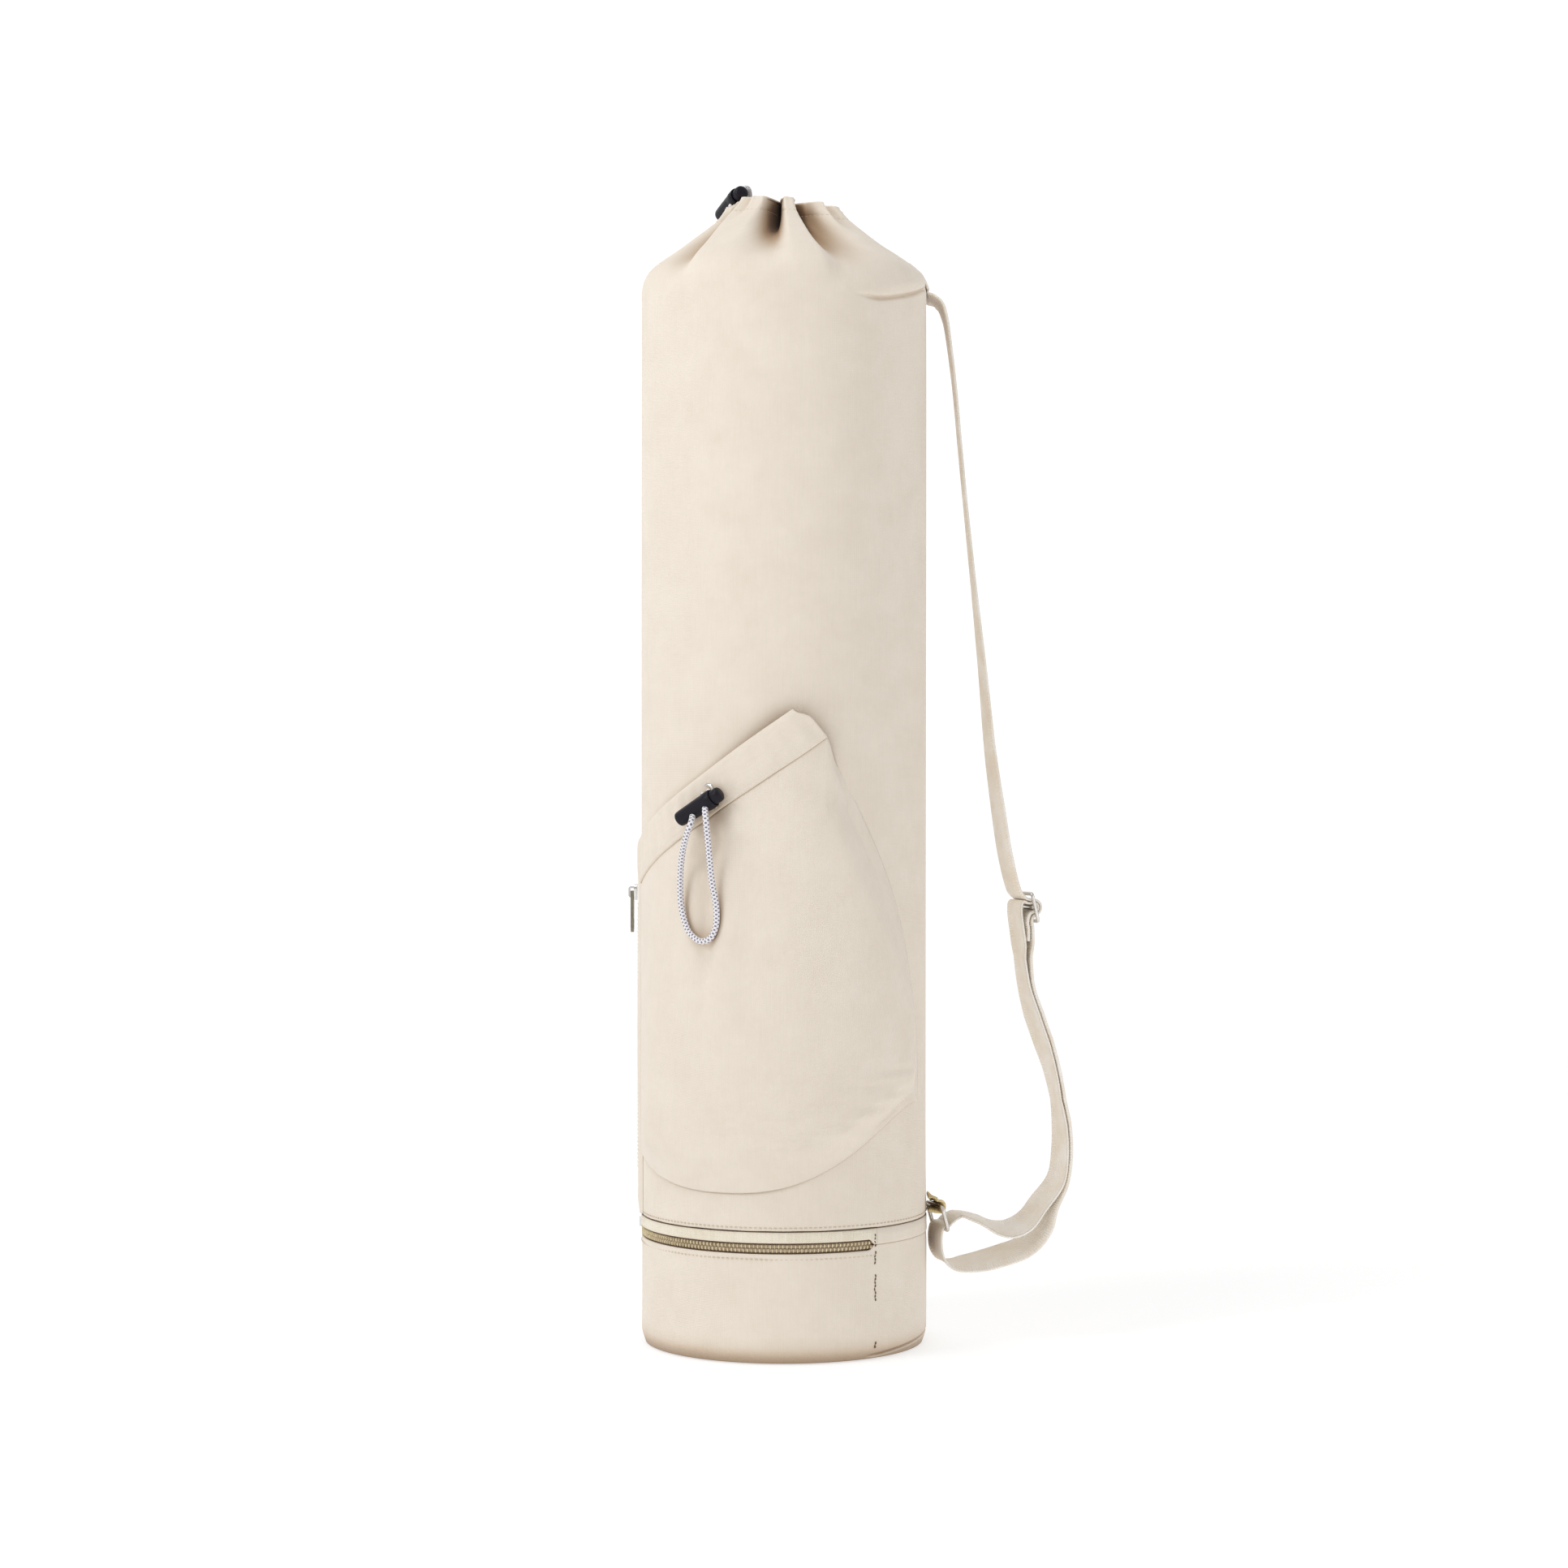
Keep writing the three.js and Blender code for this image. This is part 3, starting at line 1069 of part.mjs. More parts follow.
add('strap_webbing', strapWebbing(), 'webbing');
const [sliderX, sliderZ] = sliderPoint(0, 0);
const sliderOut = new THREE.Vector3(Math.cos(SLIDER_LEAN * RAD), 0, Math.sin(SLIDER_LEAN * RAD))
  .applyAxisAngle(UP, SLIDER_TURN * RAD);
add('strap_slider', strapSlider(), 'metal', basisTo(new THREE.Vector3(sliderX, 0, sliderZ), sliderOut, UP));
add('ring_tab', ringTab(), 'webbing');
const ring = ringFrame();
const ringUp = ring.leg.clone().negate();
const ringMiddle = ring.top.clone().lerp(ring.low, 0.5);
const ringMatrix = new THREE.Matrix4().makeBasis(ring.bar, ringUp, ring.bar.clone().cross(ringUp))
  .setPosition(ringMiddle);
const ringHalf = WEB_WIDTH / 2 + RING_SIDE_GAP + BAR;
add('strap_ring', wireRing(ringHalf, RING_HEIGHT / 2, RING_ROUND), 'metal', ringMatrix);

export default bag;
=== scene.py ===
"""The looks of a yoga mat bag: canvas tube, gathered crown, pockets, zips, cords and webbing strap.

Metres, +Z up, the front is -Y. Lengths below are millimetres and go through MM.
Angles round the bag are degrees, 0 at the front and 90 at the strap side.
"""

import bpy
import numpy as np
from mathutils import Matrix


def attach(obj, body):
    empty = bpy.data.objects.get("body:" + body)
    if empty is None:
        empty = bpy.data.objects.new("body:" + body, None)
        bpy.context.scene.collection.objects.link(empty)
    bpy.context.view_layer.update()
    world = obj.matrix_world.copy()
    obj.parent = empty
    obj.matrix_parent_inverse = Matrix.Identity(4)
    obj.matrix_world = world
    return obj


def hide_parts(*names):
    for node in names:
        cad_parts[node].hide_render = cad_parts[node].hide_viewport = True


MM = 0.001
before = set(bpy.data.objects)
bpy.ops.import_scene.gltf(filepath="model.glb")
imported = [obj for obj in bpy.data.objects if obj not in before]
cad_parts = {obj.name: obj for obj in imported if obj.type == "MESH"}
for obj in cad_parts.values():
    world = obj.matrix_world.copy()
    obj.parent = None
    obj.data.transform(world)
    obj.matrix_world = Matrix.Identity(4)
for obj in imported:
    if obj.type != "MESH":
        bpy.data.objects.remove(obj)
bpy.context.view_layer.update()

# Sizes shared with the solid model
GAP = 0.3
CANVAS = 1.6
POCKET_CLOTH = 1.2
BODY_RADIUS = 88.0
SEAM_HEIGHT = 79.0
CROWN_FOOT = 640.0
CROWN_RISE = 60.0
MOUTH_RADIUS = 36.0
RIM_TILT = 2.5
RIM_DIP = 8.0
RIM_DIP_AT = -103.0
RIM_DIP_WIDTH = 46.0
FOLD_DEPTH = 22.0
CASING_WIDTH = 16.0
CASING_THICK = 3.2
BASE_CORNER = 10.0
BASE_EDGE = 4.5
ZIP_HEIGHT = 69.0
ZIP_CHAIN = 5.6
BASE_ZIP_START = -128.0
BASE_ZIP_END = 38.0
POCKET_LEFT = -121.0
POCKET_RIGHT = 104.0
POCKET_CORNER = 23.0
POCKET_CORNER_HEIGHT = 372.0
POCKET_DROP = 193.0
POCKET_FULL = 10.0
HEM_WIDTH = 23.0
HEM_STEEP = 0.78
HEM_EASE = 0.213
HEM_THICK = 4.4
HEM_END_THICK = 2.2
HEM_STAND = 8.0
SEAM_LOW = 101.5
SEAM_LOW_AT = -42.0
SEAM_RISE = 50.0
SIDE_FRONT = -80.5
SIDE_BACK = -166.0
SIDE_TOP = 299.0
SIDE_FULL = 1.0
SIDE_ZIP_ANGLE = -93.0
SIDE_ZIP_TOP = 283.0
SIDE_ZIP_LOW = 104.0
CORD = 3.6
LOCK_LENGTH = 27.7
EYELET_ALONG = 0.56
EYELET_UP = 12.65
WEB_WIDTH = 25.0
WEB_THICK = 1.6
BAR = 1.3
STRAP_ANGLE = 100.0
SLIDER_AT = (150.6, 268.0)
SLIDER_SPAN = 17.4
SLIDER_PLATE = 2.0
SLIDER_LEAN = 13.3
SLIDER_TURN = 16.0
LAYER_GAP = 1.0
RING_HEIGHT = 14.9
RING_LEAN = 15.5
RING_TURN = 16.0
RING_OUT = 5.4
RING_OVER_SEAM = 4.6
LOOP_REACH = 75.2

# The camera's place is in metres, its lens in millimetres
CAMERA_PLACE = (0.0, -1.91, 0.344)
CAMERA_LENS = 70.76

# How far the painted hollow shade feels for walls that make a hollow, and the zips' tooth pitch
HOLLOW_REACH = 26.0
TOOTH_PITCH = 1.25


# The camera comes first: level, in front of the bag, at the photograph's distance
def make_camera():
    """A level camera in front of the bag, its place in metres and its lens for a 36 mm sensor."""
    data = bpy.data.cameras.new("camera")
    data.sensor_width = 36.0
    data.lens = CAMERA_LENS
    camera = bpy.data.objects.new("camera", data)
    camera.location = CAMERA_PLACE
    camera.rotation_euler = (np.pi / 2, 0.0, 0.0)
    bpy.context.scene.collection.objects.link(camera)
    bpy.context.scene.camera = camera


make_camera()


# Small maths shared by the surfaces
def ease(value):
    """Rises from 0 to 1 with flat ends as the value goes from 0 to 1."""
    t = np.clip(value, 0.0, 1.0)
    return t * t * (3.0 - 2.0 * t)


def mix(a, b, t):
    """Goes straight from a to b as t goes from 0 to 1."""
    return a + (b - a) * t


def read_table(rows, at):
    """Catmull-Rom value of a two-column table at each key."""
    table = np.array(rows, float)
    keys, values = table[:, 0], table[:, 1]
    i = np.clip(np.searchsorted(keys, at) - 1, 0, len(keys) - 2)
    t = np.clip((at - keys[i]) / (keys[i + 1] - keys[i]), 0.0, 1.0)
    a, b = values[np.maximum(i - 1, 0)], values[i]
    c, d = values[i + 1], values[np.minimum(i + 2, len(keys) - 1)]
    bend, twist = 2 * a - 5 * b + 4 * c - d, 3 * b - a - 3 * c + d
    return 0.5 * (2 * b + (c - a) * t + bend * t**2 + twist * t**3)


def around(angle, radius, height):
    """Points at angles in degrees, radii and heights round the bag's axis."""
    turn = np.radians(angle)
    x, y, z = np.broadcast_arrays(radius * np.sin(turn), -radius * np.cos(turn), height)
    return np.stack([x, y, z], -1)


def turn_to(angle):
    """An angle in degrees brought between -180 and 180."""
    return (angle + 540.0) % 360.0 - 180.0


def unit(v):
    """Vectors scaled to length 1."""
    v = np.asarray(v, float)
    return v / np.maximum(np.linalg.norm(v, axis=-1, keepdims=True), 1e-9)


def run_length(path):
    """The distance along a path at each of its points, from 0."""
    return np.concatenate([[0.0], np.cumsum(np.linalg.norm(np.diff(path, axis=0), axis=1))])


def smooth_through(points, samples):
    """Centripetal Catmull-Rom curve through points, with a number of samples to each span."""
    p = np.vstack([2 * points[0] - points[1], points, 2 * points[-1] - points[-2]])
    spans = []
    for i in range(1, len(p) - 2):
        roots = np.sqrt(np.linalg.norm(np.diff(p[i - 1:i + 3], axis=0), axis=1))
        k = np.concatenate([[0.0], np.cumsum(roots)])
        t = np.linspace(k[1], k[2], samples, endpoint=False)[:, None]
        a1 = ((k[1] - t) * p[i - 1] + (t - k[0]) * p[i]) / (k[1] - k[0])
        a2 = ((k[2] - t) * p[i] + (t - k[1]) * p[i + 1]) / (k[2] - k[1])
        a3 = ((k[3] - t) * p[i + 1] + (t - k[2]) * p[i + 2]) / (k[3] - k[2])
        b1 = ((k[2] - t) * a1 + (t - k[0]) * a2) / (k[2] - k[0])
        b2 = ((k[3] - t) * a2 + (t - k[1]) * a3) / (k[3] - k[1])
        spans.append(((k[2] - t) * b1 + (t - k[1]) * b2) / (k[2] - k[1]))
    return np.vstack(spans + [p[-2][None]])


def curve_points(points, count):
    """Evenly spaced points on the smooth curve through chosen points, and its length."""
    dense = smooth_through(np.asarray(points, float), 24)
    length = run_length(dense)
    even = np.linspace(0.0, length[-1], count)
    return np.stack([np.interp(even, length, dense[:, k]) for k in range(3)], -1), length[-1]


def grid_normals(points, ring=False):
    """Unit normals of a grid of points, from its differences along rows and columns."""
    if ring:
        across = np.roll(points, -1, 1) - np.roll(points, 1, 1)
    else:
        across = np.gradient(points, axis=1)
    up = np.gradient(points, axis=0)
    return unit(np.cross(across, up))


def basis(place, forward, up):
    """Matrix columns x, y, z and a place: z is forward, y is up made square to it."""
    z = unit(forward)
    y = unit(np.asarray(up, float) - np.dot(up, z) * z)
    return np.column_stack([np.cross(y, z), y, z]), np.asarray(place, float)


def put(points, placed):
    """Points in a local frame carried to their place."""
    turn, place = placed
    return np.asarray(points, float) @ turn.T + place


# Mesh making
def make_mesh(name, points, faces, material, uv=None, smooth=True):
    """A piece from points in millimetres, face corner lists and a place on the cloth per corner."""
    mesh = bpy.data.meshes.new(name)
    faces = [list(map(int, face)) for face in faces]
    mesh.from_pydata((np.asarray(points).reshape(-1, 3) * MM).tolist(), [], faces)
    if uv is not None:
        layer = mesh.uv_layers.new(name="cloth")
        layer.data.foreach_set("uv", (np.asarray(uv, float) * MM).ravel())
    mesh.polygons.foreach_set("use_smooth", [smooth] * len(mesh.polygons))
    mesh.materials.append(material)
    mesh.update()
    piece = bpy.data.objects.new(name, mesh)
    bpy.context.scene.collection.objects.link(piece)
    return piece


def grid_faces(rows, columns, ring=False):
    """Quads of a grid of points, and the row and column numbers of their first corners."""
    last = columns if ring else columns - 1
    i, j = np.meshgrid(np.arange(rows - 1), np.arange(last), indexing="ij")
    k = (j + 1) % columns
    quads = np.stack([i * columns + j, i * columns + k, (i + 1) * columns + k, (i + 1) * columns + j], -1)
    return quads.reshape(-1, 4), i, j


def surface(name, points, material, uv=None, ring=False, thick=0.0, close_rows=False):
    """A grid of points as one surface, with cloth thickness given on its inner side."""
    rows, columns = points.shape[:2]
    quads, i, j = grid_faces(rows, columns, ring)
    corners = None
    if uv is not None:
        corners = np.stack([uv[i, j], uv[i, j + 1], uv[i + 1, j + 1], uv[i + 1, j]], -2).reshape(-1, 2)
    faces = [list(q) for q in quads]
    if close_rows:
        faces += [list(range(columns))[::-1], list(range((rows - 1) * columns, rows * columns))]
        if corners is not None:
            corners = np.vstack([corners, np.zeros((2 * columns, 2))])
    piece = make_mesh(name, points, faces, material, corners)
    if thick:
        wall = piece.modifiers.new("cloth", "SOLIDIFY")
        wall.thickness = thick * MM
        wall.offset = -1.0
        wall.use_rim = True
    return piece


def arc_uv(points, ring=False):
    """Cloth coordinates: the distance across each row and up each column, in millimetres."""
    if ring:
        points = np.concatenate([points, points[:, :1]], 1)
    steps_across = np.linalg.norm(np.diff(points, axis=1), axis=2)
    steps_up = np.linalg.norm(np.diff(points, axis=0), axis=2)
    across = np.pad(np.cumsum(steps_across, 1), ((0, 0), (1, 0)))
    up = np.pad(np.cumsum(steps_up, 0), ((1, 0), (0, 0)))
    return np.stack([across - across[:, across.shape[1] // 2][:, None], up], -1)


def frames_along(path, first_side):
    """Square section directions carried along a path without twist, starting near a side."""
    tangent = unit(np.gradient(path, axis=0))
    side = unit(first_side - np.dot(first_side, tangent[0]) * tangent[0])
    sides = []
    for t in tangent:
        side = unit(side - np.dot(side, t) * t)
        sides.append(side)
    sides = np.array(sides)
    return sides, np.cross(tangent, sides)


def tube(name, path, radius, material, sides=12, first_side=(0.3, 0.4, 1.0)):
    """A round tube of a radius along a path, with its cloth coordinates along and round it."""
    path = np.asarray(path, float)
    one, two = frames_along(path, np.asarray(first_side, float))
    turn = np.linspace(0.0, 2 * np.pi, sides, endpoint=False)
    radius = np.broadcast_to(radius, len(path))[:, None, None]
    circle = one[:, None] * np.cos(turn)[None, :, None] + two[:, None] * np.sin(turn)[None, :, None]
    points = path[:, None] + radius * circle
    run = run_length(points.mean(1))
    spin = np.linspace(0.0, 1.0, sides + 1) * 2 * np.pi * float(radius.max())
    uv = np.stack(np.broadcast_arrays(spin[None, :], run[:, None]), -1)
    return surface(name, points, material, uv, ring=True, close_rows=True)


def lathe(profile, placed, sides=48):
    """Grid of points from a profile of radius and height turned about Z and put in place."""
    profile = np.asarray(profile, float)
    turn = np.linspace(0.0, 2 * np.pi, sides, endpoint=False)
    grid = np.stack(np.broadcast_arrays(
        profile[:, :1] * np.cos(turn)[None], profile[:, :1] * np.sin(turn)[None], profile[:, 1:2]), -1)
    return put(grid, placed)


# Materials
def new_material(name):
    """An empty node material with its surface shader."""
    material = bpy.data.materials.new(name)
    material.use_nodes = True
    nodes = material.node_tree.nodes
    shader = nodes["Principled BSDF"]
    return material, nodes, material.node_tree.links, shader


def ramp(nodes, stops):
    """A colour ramp from places and colours."""
    node = nodes.new("ShaderNodeValToRGB")
    elements = node.color_ramp.elements
    elements[0].position, elements[0].color = stops[0][0], (*stops[0][1], 1.0)
    elements[1].position, elements[1].color = stops[-1][0], (*stops[-1][1], 1.0)
    for place, colour in stops[1:-1]:
        elements.new(place).color = (*colour, 1.0)
    return node


def maths(nodes, links, operation, *values):
    """Output of a maths node, whose inputs are plain numbers or other nodes' outputs."""
    node = nodes.new("ShaderNodeMath")
    node.operation = operation
    for socket, value in zip(node.inputs, values):
        if isinstance(value, float):
            socket.default_value = value
        else:
            links.new(value, socket)
    return node.outputs[0]


def noise(nodes, links, place, scale, detail, roughness=0.5):
    """Output of a noise texture read at a place."""
    node = nodes.new("ShaderNodeTexNoise")
    node.inputs["Scale"].default_value = scale
    node.inputs["Detail"].default_value = detail
    node.inputs["Roughness"].default_value = roughness
    links.new(place, node.inputs["Vector"])
    return node.outputs["Fac"]


def coloured(nodes, links, factor, stops):
    """Colour of a ramp read at a factor."""
    node = ramp(nodes, stops)
    links.new(factor, node.inputs["Fac"])
    return node.outputs["Color"]


def multiplied(nodes, links, colour):
    """A node that multiplies a colour by its second input."""
    node = nodes.new("ShaderNodeMix")
    node.data_type = "RGBA"
    node.blend_type = "MULTIPLY"
    links.new(colour, node.inputs["A"])
    return node


def raised(nodes, links, shader, height, strength, distance):
    """Gives the shader fine relief from a height, over a distance in millimetres."""
    node = nodes.new("ShaderNodeBump")
    node.inputs["Strength"].default_value = strength
    node.inputs["Distance"].default_value = distance * MM
    links.new(height, node.inputs["Height"])
    links.new(node.outputs["Normal"], shader.inputs["Normal"])


def cloth_place(nodes):
    """Output that gives the place on the piece's own cloth map."""
    node = nodes.new("ShaderNodeUVMap")
    node.uv_map = "cloth"
    return node.outputs["UV"]


def split_place(nodes, links, place):
    """A node that splits a place on the cloth into across and along."""
    node = nodes.new("ShaderNodeSeparateXYZ")
    links.new(place, node.inputs["Vector"])
    return node


def with_painted_shade(nodes, links, colour):
    """Paints shade into a colour: brown in narrow hollows from an occlusion reading, and by the piece's own
    shade attribute where it has one.
    """
    # Painted shade: the occlusion reading browns the colour where walls close round a hollow
    hollow = nodes.new("ShaderNodeAmbientOcclusion")
    hollow.inputs["Distance"].default_value = HOLLOW_REACH * MM
    hollow_shade_stops = [(0.30, (0.36, 0.26, 0.18)), (0.55, (0.80, 0.72, 0.64)), (0.85, (1.0, 1.0, 1.0))]
    shaded = multiplied(nodes, links, colour)
    shaded.inputs["Factor"].default_value = 1.0
    links.new(coloured(nodes, links, hollow.outputs["AO"], hollow_shade_stops), shaded.inputs["B"])
    # Painted shade in the valleys: the shade attribute mixes in a brown
    valley = nodes.new("ShaderNodeAttribute")
    valley.attribute_name = "shade"
    valley_shaded = multiplied(nodes, links, shaded.outputs["Result"])
    valley_shaded.inputs["B"].default_value = (0.58, 0.46, 0.34, 1.0)
    links.new(valley.outputs["Fac"], valley_shaded.inputs["Factor"])
    return valley_shaded.outputs["Result"]


def weave_material(name, pale, deep, pitch, bump, roughness=0.9, streaks=0.35):
    """Plain-woven cloth: crossed threads on the cloth's own map, soft patches and slubs, with painted shade
    in hollows and valleys.
    """
    material, nodes, links, shader = new_material(name)
    shader.inputs["Roughness"].default_value = roughness
    shader.inputs["Sheen Weight"].default_value = 0.18
    shader.inputs["Sheen Roughness"].default_value = 0.6
    shader.inputs["Specular IOR Level"].default_value = 0.25
    place = cloth_place(nodes)
    threads = []
    for direction in ("X", "Y"):
        wave = nodes.new("ShaderNodeTexWave")
        wave.bands_direction = direction
        wave.inputs["Scale"].default_value = 0.314 / (pitch * MM)
        wave.inputs["Distortion"].default_value = 0.6
        wave.inputs["Detail"].default_value = 1.0
        wave.inputs["Detail Scale"].default_value = 1.5
        links.new(place, wave.inputs["Vector"])
        threads.append(wave.outputs["Fac"])
    crossed = maths(nodes, links, "MULTIPLY", *threads)
    stretch = nodes.new("ShaderNodeMapping")
    stretch.inputs["Scale"].default_value = (900.0, 60.0, 1.0)
    links.new(place, stretch.inputs["Vector"])
    slubs = noise(nodes, links, stretch.outputs["Vector"], 1.0, 2.0)
    patches = noise(nodes, links, place, 30.0, 6.0, 0.7)
    blend = maths(nodes, links, "MULTIPLY_ADD", slubs, streaks, patches)
    colour = coloured(nodes, links, blend, [(0.35, deep), (0.85, pale)])
    # The weave's colour gets painted shade in hollows and valleys
    links.new(with_painted_shade(nodes, links, colour), shader.inputs["Base Color"])
    height = maths(nodes, links, "MULTIPLY_ADD", slubs, 0.5, crossed)
    raised(nodes, links, shader, height, bump, 0.25)
    return material


def webbing_material(name, deep, pale):
    """Cotton webbing: ribs across its length with a herring-bone slant each side of the middle."""
    material, nodes, links, shader = new_material(name)
    shader.inputs["Roughness"].default_value = 0.88
    shader.inputs["Sheen Weight"].default_value = 0.15
    shader.inputs["Specular IOR Level"].default_value = 0.25
    place = cloth_place(nodes)
    split = split_place(nodes, links, place)
    aside = maths(nodes, links, "ABSOLUTE", split.outputs["X"])
    slanted = maths(nodes, links, "ADD", aside, split.outputs["Y"])
    rib = maths(nodes, links, "MULTIPLY", slanted, 2 * np.pi / (1.5 * MM))
    wave = maths(nodes, links, "SINE", rib)
    patches = noise(nodes, links, place, 60.0, 4.0)
    tone = maths(nodes, links, "MULTIPLY_ADD", wave, 0.09, patches)
    colour = coloured(nodes, links, tone, [(0.3, deep), (0.7, pale)])
    links.new(colour, shader.inputs["Base Color"])
    raised(nodes, links, shader, wave, 0.6, 0.2)
    return material


def cord_material():
    """Braided cord: white strands crossing, with grey-violet flecks on some of them."""
    material, nodes, links, shader = new_material("cord")
    shader.inputs["Roughness"].default_value = 0.8
    shader.inputs["Sheen Weight"].default_value = 0.2
    place = cloth_place(nodes)
    strands = []
    for slope in (1.0, -1.0):
        lay = nodes.new("ShaderNodeMapping")
        lay.inputs["Rotation"].default_value = (0.0, 0.0, slope * np.radians(38.0))
        links.new(place, lay.inputs["Vector"])
        wave = nodes.new("ShaderNodeTexWave")
        wave.inputs["Scale"].default_value = 0.314 / (1.3 * MM)
        links.new(lay.outputs["Vector"], wave.inputs["Vector"])
        strands.append(wave.outputs["Fac"])
    braid = maths(nodes, links, "MAXIMUM", *strands)
    split = split_place(nodes, links, place)
    lanes = []
    for axis, pitch in (("X", 2 * np.pi * CORD / 2 / 3), ("Y", 2.3)):
        turn = maths(nodes, links, "MULTIPLY", split.outputs[axis], 2 * np.pi / (pitch * MM))
        lanes.append(maths(nodes, links, "SINE", turn))
    flecks = maths(nodes, links, "MULTIPLY", *lanes)
    colour = coloured(nodes, links, flecks, [(0.12, (0.88, 0.87, 0.88)), (0.42, (0.22, 0.18, 0.27))])
    links.new(colour, shader.inputs["Base Color"])
    raised(nodes, links, shader, braid, 0.8, 0.25)
    return material


def hard_material(name, colour, dark, roughness, metallic, scale=900.0, gloss=0.5):
    """A plain hard finish with faint mottling and fine surface marks; gloss is its specular level."""
    material, nodes, links, shader = new_material(name)
    shader.inputs["Metallic"].default_value = metallic
    shader.inputs["Specular IOR Level"].default_value = gloss
    place = nodes.new("ShaderNodeTexCoord")
    grain = noise(nodes, links, place.outputs["Object"], scale, 3.0)
    tone = coloured(nodes, links, grain, [(0.3, dark), (0.7, colour)])
    links.new(tone, shader.inputs["Base Color"])
    rough = nodes.new("ShaderNodeMapRange")
    rough.inputs["To Min"].default_value = roughness * 0.8
    rough.inputs["To Max"].default_value = roughness * 1.25
    links.new(grain, rough.inputs["Value"])
    links.new(rough.outputs["Result"], shader.inputs["Roughness"])
    raised(nodes, links, shader, grain, 0.15, 0.05)
    return material


CANVAS_LOOK = weave_material("canvas", (0.83, 0.748, 0.645), (0.76, 0.672, 0.565), 0.9, 0.35)
TAPE_LOOK = weave_material("zip_tape", (0.86, 0.79, 0.66), (0.70, 0.61, 0.45), 1.1, 0.6, 0.8, 0.5)
WEBBING_LOOK = webbing_material("webbing", (0.90, 0.81, 0.69), (0.99, 0.95, 0.89))
# Painted shade: the ring tab's webbing has a dark golden tone that stands for the shade on its inner face
TAB_SHADED_LOOK = webbing_material("tab_webbing_painted_shade", (0.50, 0.36, 0.12), (0.80, 0.66, 0.36))
CORD_LOOK = cord_material()
THREAD_LOOK = hard_material("thread", (0.74, 0.66, 0.53), (0.62, 0.53, 0.41), 0.8, 0.0, 1500.0)
COIL_LOOK = hard_material("zip_coil", (0.86, 0.77, 0.54), (0.60, 0.49, 0.27), 0.4, 0.35, 400.0)
NICKEL_LOOK = hard_material("nickel", (0.78, 0.76, 0.73), (0.66, 0.64, 0.61), 0.22, 1.0, 500.0)
PLASTIC_LOOK = hard_material(
    "lock_plastic", (0.010, 0.008, 0.015), (0.006, 0.005, 0.009), 0.42, 0.0, 1200.0, gloss=0.22)
PULL_LOOK = hard_material("pull_metal", (0.30, 0.27, 0.20), (0.20, 0.18, 0.13), 0.35, 0.9, 500.0)
MARK_LOOK = hard_material("dark_thread", (0.20, 0.15, 0.09), (0.10, 0.07, 0.04), 0.8, 0.0, 1500.0)


# The cords, along the points of the solid model
POCKET_CORD = [
    (-47.4, -83.4, 338.2), (-48.2, -84.1, 336.7), (-49.8, -85.0, 334.1), (-51.6, -86.3, 331.0),
    (-53.5, -87.2, 328.2), (-54.1, -89.0, 326.0), (-54.1, -91.5, 323.9), (-55.2, -94.5, 320.0),
    (-57.6, -91.6, 313.5), (-59.8, -86.3, 305.0), (-61.2, -81.1, 294.5), (-61.7, -77.9, 283.0),
    (-61.2, -77.3, 273.1), (-59.3, -79.0, 263.5), (-55.8, -82.0, 255.5), (-49.0, -86.5, 250.9),
    (-43.6, -89.3, 252.9), (-40.7, -90.7, 258.3), (-39.7, -91.3, 265.0), (-40.2, -91.6, 273.6),
    (-42.2, -91.8, 284.6), (-43.4, -93.2, 294.2), (-44.3, -95.9, 305.2), (-45.2, -98.3, 315.2),
    (-45.9, -99.1, 322.5), (-46.5, -96.0, 328.5), (-46.4, -93.5, 330.7), (-46.4, -90.9, 332.9),
    (-46.3, -88.4, 335.2), (-45.8, -87.0, 336.9), (-44.8, -86.0, 338.9), (-44.3, -85.2, 340.2),
]
TOP_CORD = [
    (-34.4, -3.4, 699.3), (-34.4, -2.2, 699.8), (-34.2, 0.7, 701.0), (-34.2, 4.6, 702.5),
    (-33.4, 6.6, 704.3), (-32.4, 7.7, 706.1), (-30.6, 10.2, 709.0), (-29.1, 13.8, 711.2),
    (-28.1, 18.4, 711.6), (-27.9, 23.1, 709.3), (-29.3, 27.5, 704.5), (-32.7, 32.1, 698.2),
    (-38.6, 37.2, 691.4), (-46.6, 42.6, 683.8), (-55.0, 48.2, 675.2), (-62.4, 53.0, 665.8),
    (-67.6, 56.2, 656.8), (-70.3, 57.4, 646.0), (-70.7, 57.3, 634.0), (-70.7, 57.3, 602.0),
    (-70.7, 57.3, 570.0), (-69.7, 58.3, 565.7), (-67.2, 61.0, 563.1), (-64.2, 64.2, 563.1),
    (-61.7, 66.9, 565.7), (-60.7, 67.9, 570.0), (-60.7, 67.9, 602.0), (-60.7, 67.9, 634.0),
    (-60.3, 68.0, 646.0), (-58.0, 66.4, 656.8), (-53.6, 62.2, 665.8), (-47.4, 56.2, 675.2),
    (-40.4, 49.8, 683.4), (-33.6, 43.4, 690.8), (-27.8, 37.0, 697.6), (-23.9, 30.6, 703.6),
    (-22.0, 24.0, 708.6), (-21.6, 17.2, 712.4), (-22.2, 11.0, 714.4), (-23.6, 5.9, 714.3),
    (-25.6, 2.2, 712.6), (-28.1, -0.7, 709.4), (-29.7, -2.5, 706.5), (-31.8, -5.0, 702.5),
    (-32.5, -6.1, 701.2), (-32.7, -7.0, 700.5),
]


def drawcord(name, points):
    """A braided drawcord through its chosen points."""
    path, length = curve_points(points, int(len(points) * 9))
    piece = tube(name, path, CORD / 2, CORD_LOOK, sides=14)
    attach(piece, "root")
    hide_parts(name.replace("_braid", ""))


drawcord("pocket_cord_braid", POCKET_CORD)
drawcord("top_cord_braid", TOP_CORD)


# The crown of the bag

